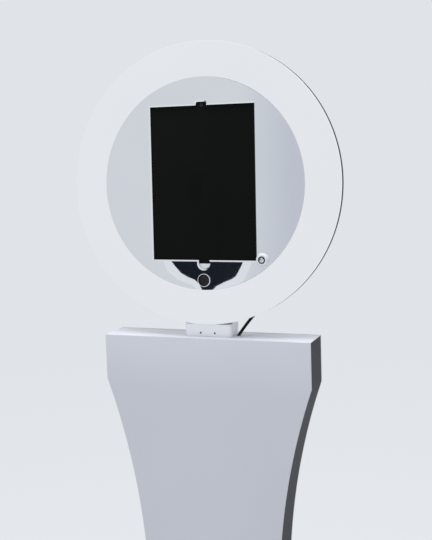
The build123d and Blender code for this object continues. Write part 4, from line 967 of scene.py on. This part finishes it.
def make_reflected_room():
    """What the mirror sees of the dim side of the studio, and the cloth that hangs there."""
    room_depth = 3.0
    dim_tone, navy, rim_tone = (0.61, 0.64, 0.71), (0.012, 0.014, 0.022), (0.84, 0.87, 0.91)
    facing_booth = Matrix.Translation((0, -room_depth, 0)) @ Matrix.Rotation(pi / 2, 4, "X")
    left, right, bottom, top = -2.2, 0.6, 0.5, 2.6
    fade_from, fade_to = -0.98, -0.74
    dim_side = stage_card("dim_side", [(left, bottom), (right, bottom), (right, top), (left, top)],
                          facing_booth @ Matrix.Translation((0, 0, 0.05)), wall_tone)
    tree = dim_side.data.materials[0].node_tree
    across = tree.nodes.new("ShaderNodeSeparateXYZ")
    tree.links.new(tree.nodes.new("ShaderNodeTexCoord").outputs["Object"], across.inputs["Vector"])
    fade = tree.nodes.new("ShaderNodeMapRange")
    fade.inputs["From Min"].default_value = fade_from
    fade.inputs["From Max"].default_value = fade_to
    tree.links.new(across.outputs["X"], fade.inputs["Value"])
    tree.links.new(blended(tree, fade.outputs["Result"], wall_tone, dim_tone),
                   tree.nodes["Principled BSDF"].inputs["Emission Color"])
    cloth = [
        (-1.31, 1.20), (-1.335, 0.955), (-1.31, 0.925), (-1.28, 0.893), (-1.245, 0.874),
        (-1.210, 0.862), (-1.188, 0.844), (-1.175, 0.822), (-1.165, 0.795), (-1.150, 0.775),
        (-1.130, 0.800), (-1.098, 0.832), (-1.058, 0.852), (-1.018, 0.868), (-0.998, 0.882),
        (-0.985, 0.905), (-0.972, 0.928), (-0.962, 0.952), (-0.975, 1.20)]
    edge_of_cloth = [
        (-1.36, 1.19), (-1.385, 0.955), (-1.36, 0.900), (-1.305, 0.858), (-1.255, 0.841),
        (-1.225, 0.829), (-1.205, 0.812), (-1.195, 0.780), (-1.160, 0.740), (-1.115, 0.765),
        (-1.075, 0.800), (-1.035, 0.818), (-0.995, 0.836), (-0.965, 0.862), (-0.945, 0.900),
        (-0.925, 0.950), (-0.940, 1.19)]
    stage_card("navy_cloth", cloth, facing_booth, navy)
    stage_card("edge_of_cloth", edge_of_cloth, facing_booth @ Matrix.Translation((0, 0, 0.02)),
               rim_tone)


def soft_light(name, place, target, size, power):
    """Square lamp that lights the booth but shows neither itself nor its reflection."""
    lamp = bpy.data.lights.new(name, "AREA")
    lamp.shape = "SQUARE"
    lamp.size = size
    lamp.energy = power
    holder = bpy.data.objects.new(name, lamp)
    bpy.context.scene.collection.objects.link(holder)
    aim = (Vector(target) - Vector(place)).to_track_quat("-Z", "Y")
    holder.matrix_world = Matrix.Translation(place) @ aim.to_matrix().to_4x4()
    holder.visible_camera = False
    holder.visible_glossy = False


def make_camera():
    """The photo's view, recovered from the ring's ellipses, the window and the stand's edges."""
    eye = Vector((0.5506, -1.4228, 1.3036))
    line_of_sight = Vector((-0.3510, 0.9272, -0.1308))
    roll = radians(-1.92)
    lens = bpy.data.cameras.new("camera")
    lens.lens = 65.6
    camera = bpy.data.objects.new("camera", lens)
    bpy.context.scene.collection.objects.link(camera)
    turn = line_of_sight.to_track_quat("-Z", "Y").to_matrix().to_4x4()
    camera.matrix_world = Matrix.Translation(eye) @ turn @ Matrix.Rotation(roll, 4, "Z")
    bpy.context.scene.camera = camera


make_floor()
make_world()
make_reflected_room()
middle_of_booth = (0, 0, 1.0)
soft_light("key_light", (-0.15, -0.5, 2.9), middle_of_booth, 0.8, 24)
soft_light("back_light", (-0.3, 1.2, 2.6), middle_of_booth, 0.8, 16)
make_camera()
bpy.context.scene.view_settings.view_transform = "Standard"
